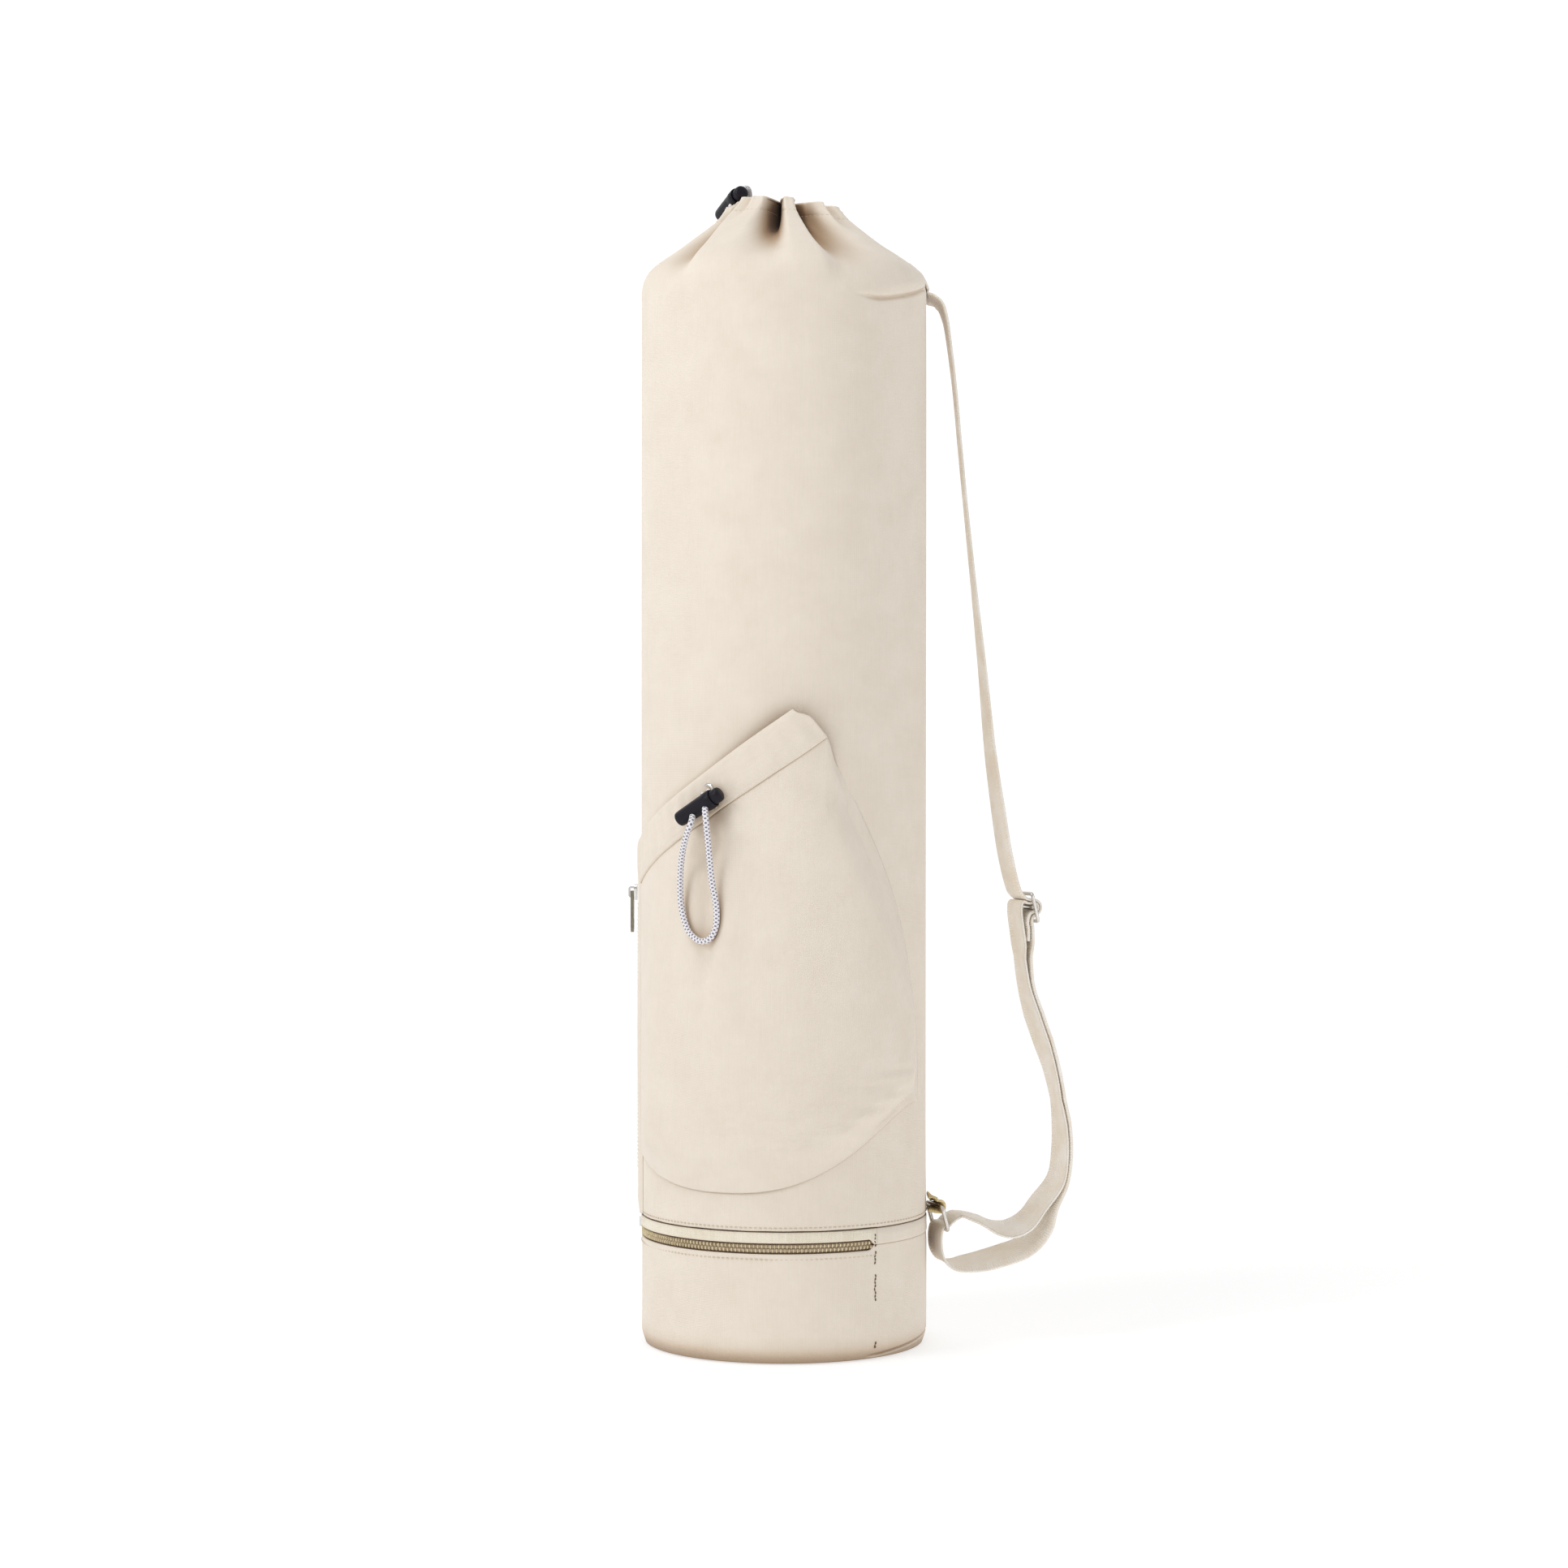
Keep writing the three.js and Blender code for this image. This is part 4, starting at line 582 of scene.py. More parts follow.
# Share of the way along the cloth from the shoulder to the rim, with the share of the rise or closing
CROWN_RISE_AT = [
    (0, 0), (0.1, 0.14), (0.2, 0.275), (0.3, 0.385), (0.45, 0.54),
    (0.6, 0.70), (0.75, 0.835), (0.88, 0.93), (1, 1)]
CROWN_CLOSING = [
    (0, 0), (0.1, 0), (0.2, 0.045), (0.3, 0.15), (0.45, 0.385),
    (0.6, 0.615), (0.75, 0.81), (0.88, 0.93), (1, 1)]

# Valleys: angle at the rim and at the foot, depth, width left and right, start, share at the rim
FOLDS = [
    (-60, -49, 1.00, 25, 11, -0.10, 0.25),
    (-53, -47, 0.40, 12, 5, 0.05, 0.40),
    (-38, -38, 0.18, 8, 8, 0.60, 1.00),
    (-9, -8, 0.55, 6, 5, 0.40, 0.50),
    (14, 23, 0.45, 5, 9, 0.10, 0.60),
    (-8, -6, 1.25, 15, 9, 0.05, 0.85),
    (17, 25, 1.10, 7, 25, -0.05, 0.80),
    (52, 48, 0.35, 10, 12, 0.50, 1.00),
    (80, 72, 0.50, 12, 12, 0.40, 1.00),
    (116, 128, 0.80, 14, 10, 0.20, 0.90),
    (148, 150, 0.70, 11, 13, 0.12, 0.90),
    (182, 184, 0.80, 14, 12, 0.10, 0.90),
    (220, 208, 0.50, 10, 10, 0.35, 1.00),
    (258, 260, 0.60, 14, 14, 0.45, 0.60),
]


def fold_depth(angle, along):
    """Sum of the valleys: each a raised cosine across its width, growing along the crown."""
    depth = np.zeros(np.broadcast(angle, along).shape)
    for rim, foot, deep, left, right, start, at_rim in FOLDS:
        off = turn_to(angle - mix(foot, rim, ease(along)))
        width = np.where(off < 0, left, right) * mix(1.35, 1.0, along)
        across = np.where(np.abs(off) < width, 0.5 + 0.5 * np.cos(np.pi * off / width), 0.0)
        grown = ease((along - start) / (0.8 - start)) * mix(1.0, at_rim, ease((along - 0.75) / 0.25))
        depth += FOLD_DEPTH * deep * across * grown
    return depth


def gathers(angle, along):
    """Fine pleats of the drawn casing: three uneven waves round the mouth, fading downwards."""
    wave = (0.9 * np.sin(np.radians(angle * 17 + 40 * np.sin(np.radians(angle * 3))))
            + 0.6 * np.sin(np.radians(angle * 29 + 70 * np.sin(np.radians(angle * 2 + 50))))
            + 0.35 * np.sin(np.radians(angle * 53 + 60)))
    return 0.8 * wave * ease((along - 0.45) / 0.55)


def crown_radius(angle, along):
    """The body's radius closing to the mouth's, less the valleys and with the gathers."""
    closing = read_table(CROWN_CLOSING, along)
    return mix(BODY_RADIUS, MOUTH_RADIUS, closing) - fold_depth(angle, along) + gathers(angle, along)


def crown_height(angle, along):
    """The crown's rise, leaning by a sine round the rim and dipping by a raised cosine at the lock."""
    off = np.clip(turn_to(angle - RIM_DIP_AT) / RIM_DIP_WIDTH, -1, 1)
    lean = -RIM_TILT * np.sin(np.radians(angle)) - RIM_DIP * (0.5 + 0.5 * np.cos(np.pi * off))
    return CROWN_FOOT + CROWN_RISE * read_table(CROWN_RISE_AT, along) + lean * ease(along)


def crown_points(angle, along):
    """The crown's cloth at angles and shares along it."""
    return around(angle, crown_radius(angle, along), crown_height(angle, along))


def tube_slack(angle, height):
    """Slow hollows and ridges of the empty cloth between the base seam and the shoulder."""
    free = ease((height - SEAM_HEIGHT) / 40) * ease((CROWN_FOOT + 12 - height) / 60)
    wave = (np.sin(np.radians(angle * 3 + 40 + height * 0.10))
            + 0.7 * np.sin(np.radians(angle * 7 - height * 0.16))
            + 0.5 * np.sin(np.radians(angle * 2 + height * 0.55)))
    return 0.22 * wave * free


# The crease's angle and its height over the crown's foot
CREASE = [(26, -3.5), (40, -5.2), (52, -2.2), (64, 2.0), (75, 6.6), (90, 11.0)]


def shoulder_crease(angle, height):
    """The tuck across the right shoulder: a narrow groove with cloth bulging over it."""
    reach = ease((angle - 26) / 14) * ease((90 - angle) / 12)
    over = height - CROWN_FOOT - read_table(CREASE, angle)
    return reach * (1.5 * np.exp(-(((over - 7) / 5) ** 2)) - 2.2 * np.exp(-((over / 1.3) ** 2)))


def painted_fold_shade(angle, along):
    """How much painted shade the cloth gets: it follows the valleys' depth and fades out at the crown's foot.
    """
    return ease(1.5 * fold_depth(angle, along) / FOLD_DEPTH - 0.08) * ease(along / 0.25)


def bag_cloth():
    """The tube and crown in one cloth, rolled over at the rim into the inside of the casing."""
    columns = 420
    angle = np.linspace(-180.0, 180.0, columns, endpoint=False)[None]
    open_seam = ease((angle - BASE_ZIP_START) / 3) * ease((BASE_ZIP_END + 2 - angle) / 3)
    edge = 0.22 * open_seam * (1 + 0.5 * np.sin(np.radians(angle * 19)) * np.sin(np.radians(angle * 7)))
    heights = np.concatenate([[0, 0.9, 2.5], np.linspace(7, 546, 26), np.linspace(549, 560, 15)])[:, None]
    heights = heights + SEAM_HEIGHT + GAP / 2 + edge * (heights < 5)
    out = BODY_RADIUS - 0.3 * np.exp(-((heights - SEAM_HEIGHT) / 1.5) ** 2) + tube_slack(angle, heights)
    tube_part = around(angle, out + shoulder_crease(angle, heights), heights)
    near = np.linspace(0.006, 0.14, 18)
    along = np.concatenate([near, np.linspace(0.15, 0.30, 8), np.linspace(0.32, 1.0, 36)])[:, None]
    crown = crown_points(angle, along)
    normal = grid_normals(crown, ring=True)
    crown = crown + normal * shoulder_crease(angle, crown[..., 2])[..., None]
    stitch = 1.0 - CASING_WIDTH / np.hypot(BODY_RADIUS - MOUTH_RADIUS, CROWN_RISE)
    crown = crown - normal * (0.3 * np.exp(-(((along - stitch) / 0.012) ** 2)))[..., None]
    rim = crown[-1]
    inward = -unit(np.stack([rim[:, 0], rim[:, 1], np.zeros(columns)], -1))
    up = np.array([0.0, 0.0, 1.0])
    half = CASING_THICK / 2
    turns = np.radians([30, 60, 90, 120, 150])
    roll = [rim + inward * half * (1 - np.cos(t)) + up * half * np.sin(t) for t in turns]
    inside = [crown[-1 - k] - normal[-1 - k] * CASING_THICK for k in (0, 3, 7, 11)]
    points = np.concatenate([tube_part, crown, np.array(roll), np.array(inside)])
    cloth_map = arc_uv(points, ring=True)
    piece = surface("bag_cloth", points, CANVAS_LOOK, cloth_map, ring=True, thick=CANVAS * 0.75)
    # Painted shade for the crown's valleys, stored as the cloth's shade attribute
    shade = np.zeros(points.shape[:2])
    shade[len(heights):len(heights) + len(along)] = painted_fold_shade(angle, along)
    piece.data.attributes.new("shade", "FLOAT", "POINT").data.foreach_set("value", shade.ravel())
    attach(piece, "root")
    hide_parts("bag_body")


bag_cloth()


# Stitching
def stitches(name, line, outward, spacing=3.0, length=2.1, radius=0.28, lift=0.12, look=THREAD_LOOK):
    """A row of short rounded stitches along a line on the cloth, merged in one piece."""
    path = np.asarray(line, float)
    run = run_length(path)
    at = np.arange(spacing / 2, run[-1], spacing)
    centre = np.stack([np.interp(at, run, path[:, k]) for k in range(3)], -1)
    after = np.stack([np.interp(at + 0.5, run, path[:, k]) for k in range(3)], -1)
    before = np.stack([np.interp(at - 0.5, run, path[:, k]) for k in range(3)], -1)
    out = unit(np.stack([np.interp(at, run, np.asarray(outward)[:, k]) for k in range(3)], -1))
    forward = unit(after - before)
    side = np.cross(out, forward)
    shares = np.array([-0.5, -0.32, 0.0, 0.32, 0.5])
    radii = np.array([0.25, 0.9, 1.0, 0.9, 0.25]) * radius
    sink = np.array([-0.5, 0.1, 0.3, 0.1, -0.5]) * radius
    turn = np.linspace(0, 2 * np.pi, 6, endpoint=False)
    rings = (centre[:, None, None] + forward[:, None, None] * (shares * length)[None, :, None, None]
             + out[:, None, None] * (lift + sink)[None, :, None, None]
             + radii[None, :, None, None] * (side[:, None, None] * np.cos(turn)[None, None, :, None]
                                             + out[:, None, None] * np.sin(turn)[None, None, :, None]))
    one, _, _ = grid_faces(5, 6, ring=True)
    ends = [[5, 4, 3, 2, 1, 0], [24, 25, 26, 27, 28, 29]]
    faces = []
    for k in range(len(at)):
        faces += (one + 30 * k).tolist() + [[v + 30 * k for v in end] for end in ends]
    piece = make_mesh(name, rings.reshape(-1, 3), faces, look)
    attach(piece, "root")


def outward_of(points):
    """The level way out from the bag's axis at each point."""
    return unit(np.stack([points[:, 0], points[:, 1], np.zeros(len(points))], -1))


def casing_stitches():
    """The casing's stitch line, a casing width below the rim along the cloth."""
    angle = np.linspace(-180, 180, 720)
    along = np.full(720, 1.0 - CASING_WIDTH / np.hypot(BODY_RADIUS - MOUTH_RADIUS, CROWN_RISE))
    grid = crown_points(angle[None], along[None] + np.array([-0.01, 0.0, 0.01])[:, None])
    normal = grid_normals(grid)[1]
    stitches("casing_stitching", grid[1] - normal * 0.35, normal, radius=0.2)


casing_stitches()


# The base: wall, welt seam, panel and floor
def base_cloth():
    """The base wall with its slot edges turned in beside the zip, above and below it."""
    columns = 360
    angle = np.linspace(-180.0, 180.0, columns, endpoint=False)[None]
    half = ZIP_CHAIN / 2 + 0.5
    corner = np.arange(0.8, BASE_CORNER, 0.45)
    low = np.concatenate([corner, [BASE_CORNER + 0.5, 13, 20, 32, 45, 55, 60, 63]])[:, None]
    shade = 0.25 * np.sin(np.radians(angle * 5 + 20)) + 0.2 * np.sin(np.radians(angle * 11 + 80))
    radius = BODY_RADIUS - 3.6 * (1 - ease(0.35 + 0.65 * low / BASE_CORNER)) + shade * ease((low - 8) / 20)
    seam = mix(2.5, 8.0, np.clip((angle - 38) / 45, 0, 1))
    sewn = ease((angle - 34) / 8) * ease((170 - angle) / 20)
    radius = radius - 1.3 * np.exp(-(((low - seam) / 0.6) ** 2)) * sewn
    lower = around(angle, radius, low)
    within = ease((angle - BASE_ZIP_START) / 2.5) * ease((BASE_ZIP_END - angle) / 2.5)
    lip = ZIP_HEIGHT - half * within
    turned = [
        around(angle, BODY_RADIUS - 0.1, lip - 1.2), around(angle, BODY_RADIUS - 0.1, lip),
        around(angle, BODY_RADIUS - CANVAS, lip + 0.15)]
    points = np.concatenate([lower] + turned)
    piece = surface("base_wall_cloth", points, CANVAS_LOOK, arc_uv(points, ring=True), ring=True, thick=1.2)
    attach(piece, "root")
    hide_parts("base_wall")
    lip = ZIP_HEIGHT + half * within
    top = SEAM_HEIGHT - GAP / 2
    profile = [
        (-CANVAS, 0.0, -0.15), (0.2, 0.0, 0.0), (0.35, 0.0, 1.0),
        (0.15, 0.5, 0.0), (0.2, 1.0, -0.7), (-0.8, 1.0, 0.0)]
    rows = [around(angle, BODY_RADIUS + out, mix(lip, top, share) + more) for out, share, more in profile]
    points = np.concatenate(rows)
    turns = angle[0]
    zipped = (turns > BASE_ZIP_START - 1) & (turns < BASE_ZIP_END + 1.5)
    first = int(np.argmax(zipped))
    last = len(turns) - int(np.argmax(zipped[::-1]))
    plain = np.concatenate([points[:, last - 1:], points[:, :first + 1]], 1)
    zip_part = points[:, first:last]
    for name, part, look in (("base_seam_band", plain, CANVAS_LOOK), ("base_zip_band", zip_part, TAPE_LOOK)):
        band = surface(name, part, look, arc_uv(part), thick=1.0)
        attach(band, "root")


def base_bottom():
    """The round bottom: flat underneath and turned up inside the wall's edge."""
    edge = BODY_RADIUS - 3.4
    flat = edge - BASE_CORNER + BASE_EDGE / 2
    profile = [
        (0.001, 0), (flat * 0.5, 0), (flat, 0), (edge - 2.2, 0.2), (edge - 0.6, 0.8), (edge, 1.8),
        (edge - 0.4, 2.6), (edge - 2, 3.0), (edge - 3.2, 2.8), (flat - 1, 2), (0.001, 2)]
    points = lathe(profile, (np.eye(3), np.zeros(3)), 200)[::-1]
    uv = np.concatenate([points, points[:, :1]], 1)[..., :2]
    piece = surface("base_panel_cloth", points, CANVAS_LOOK, uv, ring=True)
    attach(piece, "root")
    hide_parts("base_panel")


def floor_cloth():
    """The inner divider: a disc of canvas that sags a little to its middle."""
    edge = 86.1
    radius = np.array([0.001, 20, 40, 60, 75, 83, edge])
    sag = 0.8 * (1 - (radius / edge) ** 2)
    top = SEAM_HEIGHT - GAP
    upper = [(r, top - s) for r, s in zip(radius, sag)]
    lower = [(r, top - 1.2 - s * 0.3) for r, s in zip(radius, sag)][::-1]
    points = lathe(upper + lower, (np.eye(3), np.zeros(3)), 120)
    uv = np.concatenate([points, points[:, :1]], 1)[..., :2]
    piece = surface("compartment_floor_cloth", points, CANVAS_LOOK, uv, ring=True)
    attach(piece, "root")
    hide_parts("compartment_floor")


base_cloth()
base_bottom()
floor_cloth()


# Zips
def coil_teeth(centre, forward, out, count):
    """Two interlocked rows of six-sided teeth along a line of centres, as points and faces."""
    points, faces = [], []
    shape = np.array([[-1.1, -0.4], [0.8, -0.4], [1.1, -0.2], [1.1, 0.2], [0.8, 0.4], [-1.1, 0.4]])
    for k in range(count):
        side = 1.0 if k % 2 else -1.0
        f, o = forward[k], out[k]
        s = np.cross(o, f) * side
        base = shape[:, :1] * s + shape[:, 1:2] * f
        top = 0.72 * shape[:, :1] * s + 0.62 * shape[:, 1:2] * f + 0.75 * o
        place = centre[k] - s * 1.2
        ring = np.vstack([place + base, place + top])
        if side < 0:
            ring = np.vstack([ring[:6][::-1], ring[6:][::-1]])
        n = 12 * k
        points.append(ring)
        faces += [[n + i, n + (i + 1) % 6, n + 6 + (i + 1) % 6, n + 6 + i] for i in range(6)]
        faces += [[n + 6 + i for i in range(6)], [n + 5 - i for i in range(6)]]
    return np.vstack(points), faces


def base_zip():
    """Tape behind the slot and a coil chain standing in it, round the front of the base."""
    angle = np.linspace(BASE_ZIP_START + 0.4, BASE_ZIP_END - 0.4, 260)[None]
    rows = [
        (85.2, -7.0), (86.1, -6.8), (85.6, -2.5), (86.5, -2.1), (86.5, -0.5), (85.6, 0),
        (86.5, 0.5), (86.5, 2.1), (85.6, 2.5), (86.1, 6.8), (85.2, 7.0)]
    points = np.concatenate([around(angle, r, ZIP_HEIGHT + z) for r, z in rows])
    tape = surface("base_zip_tape", points, TAPE_LOOK, arc_uv(points))
    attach(tape, "root")
    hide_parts("base_zip")
    count = int((BASE_ZIP_END - BASE_ZIP_START - 1) / (TOOTH_PITCH / BODY_RADIUS * 180 / np.pi))
    at = BASE_ZIP_START + 0.6 + np.arange(count) * np.degrees(TOOTH_PITCH / BODY_RADIUS)
    chain = 87.3
    centre = around(at, chain, np.full(count, ZIP_HEIGHT))
    out = outward_of(centre)
    forward = np.cross(np.array([0.0, 0.0, 1.0]), out)
    teeth = make_mesh("base_zip_teeth", *coil_teeth(centre, forward, out, count), COIL_LOOK, smooth=False)
    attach(teeth, "root")
    under = np.full(200, ZIP_HEIGHT - ZIP_CHAIN / 2 - 3.6)
    line = around(np.linspace(BASE_ZIP_START + 1, BASE_ZIP_END + 1, 200), BODY_RADIUS, under)
    stitches("zip_stitching_low", line, outward_of(line))
    for k, (low, high) in enumerate(((-1.5, 6.5), (-12, -4), (-34, -17), (-62, -57))):
        height = np.linspace(ZIP_HEIGHT + low, ZIP_HEIGHT + high, 40)
        sway = 0.18 * np.sin(height * 1.3) + 0.12 * np.sin(height * 0.5 + k)
        line = around(BASE_ZIP_END + 0.2 + sway, BODY_RADIUS, height)
        stitches(f"zip_end_stitching_{k + 1}", line, outward_of(line), 2.1, 2.0, 0.45, 0.1, MARK_LOOK)
    line = around(np.linspace(-180, 180, 600), BODY_RADIUS + 0.05, np.full(600, SEAM_HEIGHT + 2.2))
    stitches("seam_stitching", line, outward_of(line))


def side_zip():
    """Tape and teeth of the upright zip in the side pocket."""
    inner = BODY_RADIUS + GAP + SIDE_FULL
    half = ZIP_CHAIN / 2
    heights = np.linspace(SIDE_ZIP_LOW + 0.4, SIDE_ZIP_TOP - 0.4, 60)[:, None]
    profile = np.array([
        (-6.5, inner - 0.35), (-half, inner - 0.3), (-half + 0.3, inner + 0.9), (-0.3, inner + 0.9),
        (0, inner + 0.6), (0.3, inner + 0.9), (half - 0.3, inner + 0.9), (half, inner - 0.3),
        (6.5, inner - 0.35)])
    angle = SIDE_ZIP_ANGLE + np.degrees(profile[:, 0] / BODY_RADIUS)[None]
    points = around(angle, profile[:, 1][None], heights)
    tape = surface("side_zip_tape", points, TAPE_LOOK, arc_uv(points))
    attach(tape, "root")
    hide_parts("side_zip")
    at = np.arange(SIDE_ZIP_LOW + 2, SIDE_ZIP_TOP - 12, TOOTH_PITCH)
    centre = around(np.full(len(at), SIDE_ZIP_ANGLE), inner + 0.95, at)
    out = outward_of(centre)
    forward = np.tile([0.0, 0.0, 1.0], (len(at), 1))
    teeth = make_mesh("side_zip_teeth", *coil_teeth(centre, forward, out, len(at)), COIL_LOOK, smooth=False)
    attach(teeth, "root")


base_zip()
side_zip()


# The bottle pocket
def to_angle(across):
    """The angle of a distance round the body, measured from its front."""
    return np.degrees(across / BODY_RADIUS)


def on_wall(across, height, stand):
    """Points by distance round the body and height, standing off the wall's face."""
    return around(to_angle(across), BODY_RADIUS + GAP + stand, height)


def stitch_height(across):
    """Height of the hem's stitch line: steepest at the corner, easing to the left."""
    back = POCKET_CORNER - across
    span = POCKET_CORNER - POCKET_LEFT
    return POCKET_CORNER_HEIGHT - HEM_STEEP * back * (1 - HEM_EASE * back / span)


def pocket_top(across):
    """Height of the pocket's top edge: the hem's stitch line, then falling to the right seam."""
    share = (across - POCKET_CORNER) / (POCKET_RIGHT - POCKET_CORNER)
    falling = POCKET_CORNER_HEIGHT - POCKET_DROP * (0.75 * share + 0.25 * np.maximum(share, 0) ** 6)
    return np.where(across <= POCKET_CORNER, stitch_height(across), falling)


def pocket_low(across):
    """Height of the bottom seam: a shallow parabola on the left, an eased rise on the right."""
    left = SEAM_LOW + 0.17 * SEAM_RISE * ((SEAM_LOW_AT - across) / 55) ** 2
    share = np.clip((across - SEAM_LOW_AT) / (POCKET_RIGHT - 8 - SEAM_LOW_AT), 0, 1)
    return np.where(across < SEAM_LOW_AT, left, SEAM_LOW + SEAM_RISE * ease(share**1.5))


MOUTH_STAND = [(0, 0), (0.25, 0.14), (0.52, 0.25), (0.8, 0.7), (0.92, 0.85), (1, 0.8)]


def mouth_stand(across):
    """How far the pocket's mouth stands off the wall along its stitch line, from a table."""
    share = (across - POCKET_LEFT) / (POCKET_CORNER - POCKET_LEFT)
    return POCKET_FULL * read_table(MOUTH_STAND, np.clip(share, 0, 1))


def pocket_stand(across, share):
    """Distance of the pocket's inner face from the wall: drawn in at seams and at the cord lock."""
    height = pocket_top(across) - pocket_low(across)
    low = ease(share * height / 24)
    full = POCKET_FULL * ease((across - POCKET_LEFT) / 40)
    blend = ease((share - 0.3) / 0.7)
    left = mix(full, mouth_stand(across), blend)
    seam = ease((1 - share) * height / 60)
    fade = 1 - ease((across - POCKET_CORNER) / 18)
    right = full * seam * ease((POCKET_RIGHT - across) / 30)
    right = mix(right, mouth_stand(POCKET_CORNER), fade * blend)
    return low * np.where(across <= POCKET_CORNER, left, right)


def pocket_folds(across, height, share):
    """Soft drapes of the pocket: upright folds under the lock, a hollow arc, low wrinkles."""
    below = ease((share - 0.35) / 0.3) * ease((1.02 - share) / 0.1)
    lock = -42.0
    drapes = 1.3 * np.exp(-(((across - lock - 9) / 9) ** 2)) - 1.5 * np.exp(-(((across - lock + 3) / 5) ** 2))
    drapes = drapes + 0.9 * np.exp(-(((across - lock + 14) / 7) ** 2))
    drapes = drapes - 0.8 * np.exp(-(((across - lock - 24) / 8) ** 2))
    arc = np.sqrt(((across - 2) / 52.0) ** 2 + ((height - 296) / 46.0) ** 2)
    hollow = -1.6 * np.exp(-(((arc - 1.0) / 0.2) ** 2)) * ease((across + 2) / 20) * ease((height - 270) / 30)
    low = ease((0.34 - share) / 0.2) * ease(share / 0.05)
    wrinkles = 0.28 * np.sin(height * 0.55 + 0.05 * across) + 0.2 * np.sin(height * 0.93 - 0.09 * across)
    wrinkles = wrinkles * ease((across + 70) / 40) * ease((92 - across) / 20)
    slow = 0.35 * np.sin(0.07 * across + 0.02 * height) * ease(share / 0.2) * ease((1 - share) / 0.2)
    return 1.5 * drapes * below + 1.4 * hollow + 1.5 * wrinkles * low + slow


def pocket_cloth():
    """The pocket panel between its bottom seam and the hem's stitch line or the right seam."""
    left = np.linspace(POCKET_LEFT, POCKET_CORNER, 150)
    right = np.linspace(POCKET_CORNER, POCKET_RIGHT, 90)[1:]
    across = np.concatenate([left, right])[None]
    share = np.concatenate([[0, 0.004, 0.009, 0.016, 0.025], np.linspace(0.04, 1, 84)])[:, None]
    low, top = pocket_low(across), pocket_top(across)
    under = ease((share - 0.97) / 0.03) * ease((POCKET_CORNER + 1 - across) / 2)
    height = mix(low, top, share) + 0.8 * under
    stand = pocket_stand(across, share) + POCKET_CLOTH - 0.2 * under
    edge = np.minimum(np.minimum((across - POCKET_LEFT), (POCKET_RIGHT - across) * 0.9), share * (top - low))
    stand = stand + pocket_folds(across, height, share) * ease(edge / 12)
    rise = share * (top - low)
    pinch = -1.7 * np.exp(-(((rise - 5.0) / 1.6) ** 2)) * ease((across - 52) / 15) * ease((98 - across) / 10)
    stand = np.maximum(stand + pinch, POCKET_CLOTH * 0.8)
    sewn = (1 - ease((1 - share) * (top - low) / 13)) * ease((across - POCKET_CORNER) / 10)
    sewn = np.maximum(sewn, 1 - ease((POCKET_RIGHT - across) / 14))
    stand = mix(stand, -GAP + 0.05, sewn)
    points = on_wall(across, height, stand)
    piece = surface("pocket_cloth", points, CANVAS_LOOK, arc_uv(points), thick=POCKET_CLOTH * 0.9)
    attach(piece, "root")
    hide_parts("bottle_pocket")


def hem_point(along, up, off):
    """A point of the hem: along its length, up its width and off its inner face."""
    along = along - 0.03 * ease((along - 0.86) / 0.14) * ease((up / HEM_WIDTH - 0.55) / 0.45) ** 1.5
    lower = mix(POCKET_LEFT, POCKET_CORNER, along)
    slope = np.arctan(HEM_STEEP * (1 - 2 * HEM_EASE * (1 - along)))
    upper = lower - HEM_WIDTH * np.sin(slope) * along
    rise = HEM_WIDTH / np.cos(slope)
    across = mix(lower, upper, up / HEM_WIDTH)
    height = mix(stitch_height(lower), stitch_height(upper) + rise, up / HEM_WIDTH)
    foot = np.maximum(mouth_stand(lower) - (HEM_THICK - POCKET_CLOTH) / 2, 0)
    lip = HEM_STAND * ease((along - 0.5) / 0.5)
    return on_wall(across, height, mix(foot, lip, ease(up / HEM_WIDTH)) + off)


def hem_cloth():
    """The hem casing: a flat cloth tube round its drawcord, puckered a little along its length."""
    along = np.linspace(0, 1, 170)[:, None]
    low, high = GAP, HEM_WIDTH
    t = mix(HEM_END_THICK, HEM_THICK, ease(along / 0.35))
    corners = [
        (low, 0.45), (low + 0.8, 0.12), (low + 2.5, 0.0), (low + 7, 0), (low + 12, 0), (high - 5, 0),
        (high - 2, 0.05), (high - 0.6, 0.35), (high, 0.62), (high - 0.5, 0.86), (high - 2, 0.98),
        (high - 5, 1.0), (low + 12, 1.0), (low + 7, 0.98), (low + 3.2, 0.86), (low + 1.6, 0.70), (low, 0.62)]
    loop = np.roll(corners, -8, 0)
    fine = np.stack([loop, (loop + np.roll(loop, -1, 0)) / 2], 1).reshape(-1, 2)
    up, off = fine[:, 0][None], fine[:, 1][None] * t
    outer = off > t * 0.5
    pucker = 0.35 * np.sin(along * 95) + 0.25 * np.sin(along * 61 + 1.2)
    pucker = pucker * outer * ease(up / 6) * ease((HEM_WIDTH + 1 - up) / 5)
    pressed = 0.9 * np.exp(-(((along - EYELET_ALONG) / 0.05) ** 2)) * outer * np.exp(-(((up - 6) / 6) ** 2))
    points = hem_point(along, up, off + pucker - pressed)
    points = points[:, ::-1]
    piece = surface("hem_cloth", points, CANVAS_LOOK, arc_uv(points, ring=True), ring=True, thick=1.0)
    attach(piece, "root")
    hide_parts("pocket_hem")
    s = np.linspace(0.01, 0.985, 300)
    line = hem_point(s, 1.7, mix(HEM_END_THICK, HEM_THICK, ease(s / 0.35)) * 0.70)
    stitches("hem_stitching", line, outward_of(line), lift=0.3)


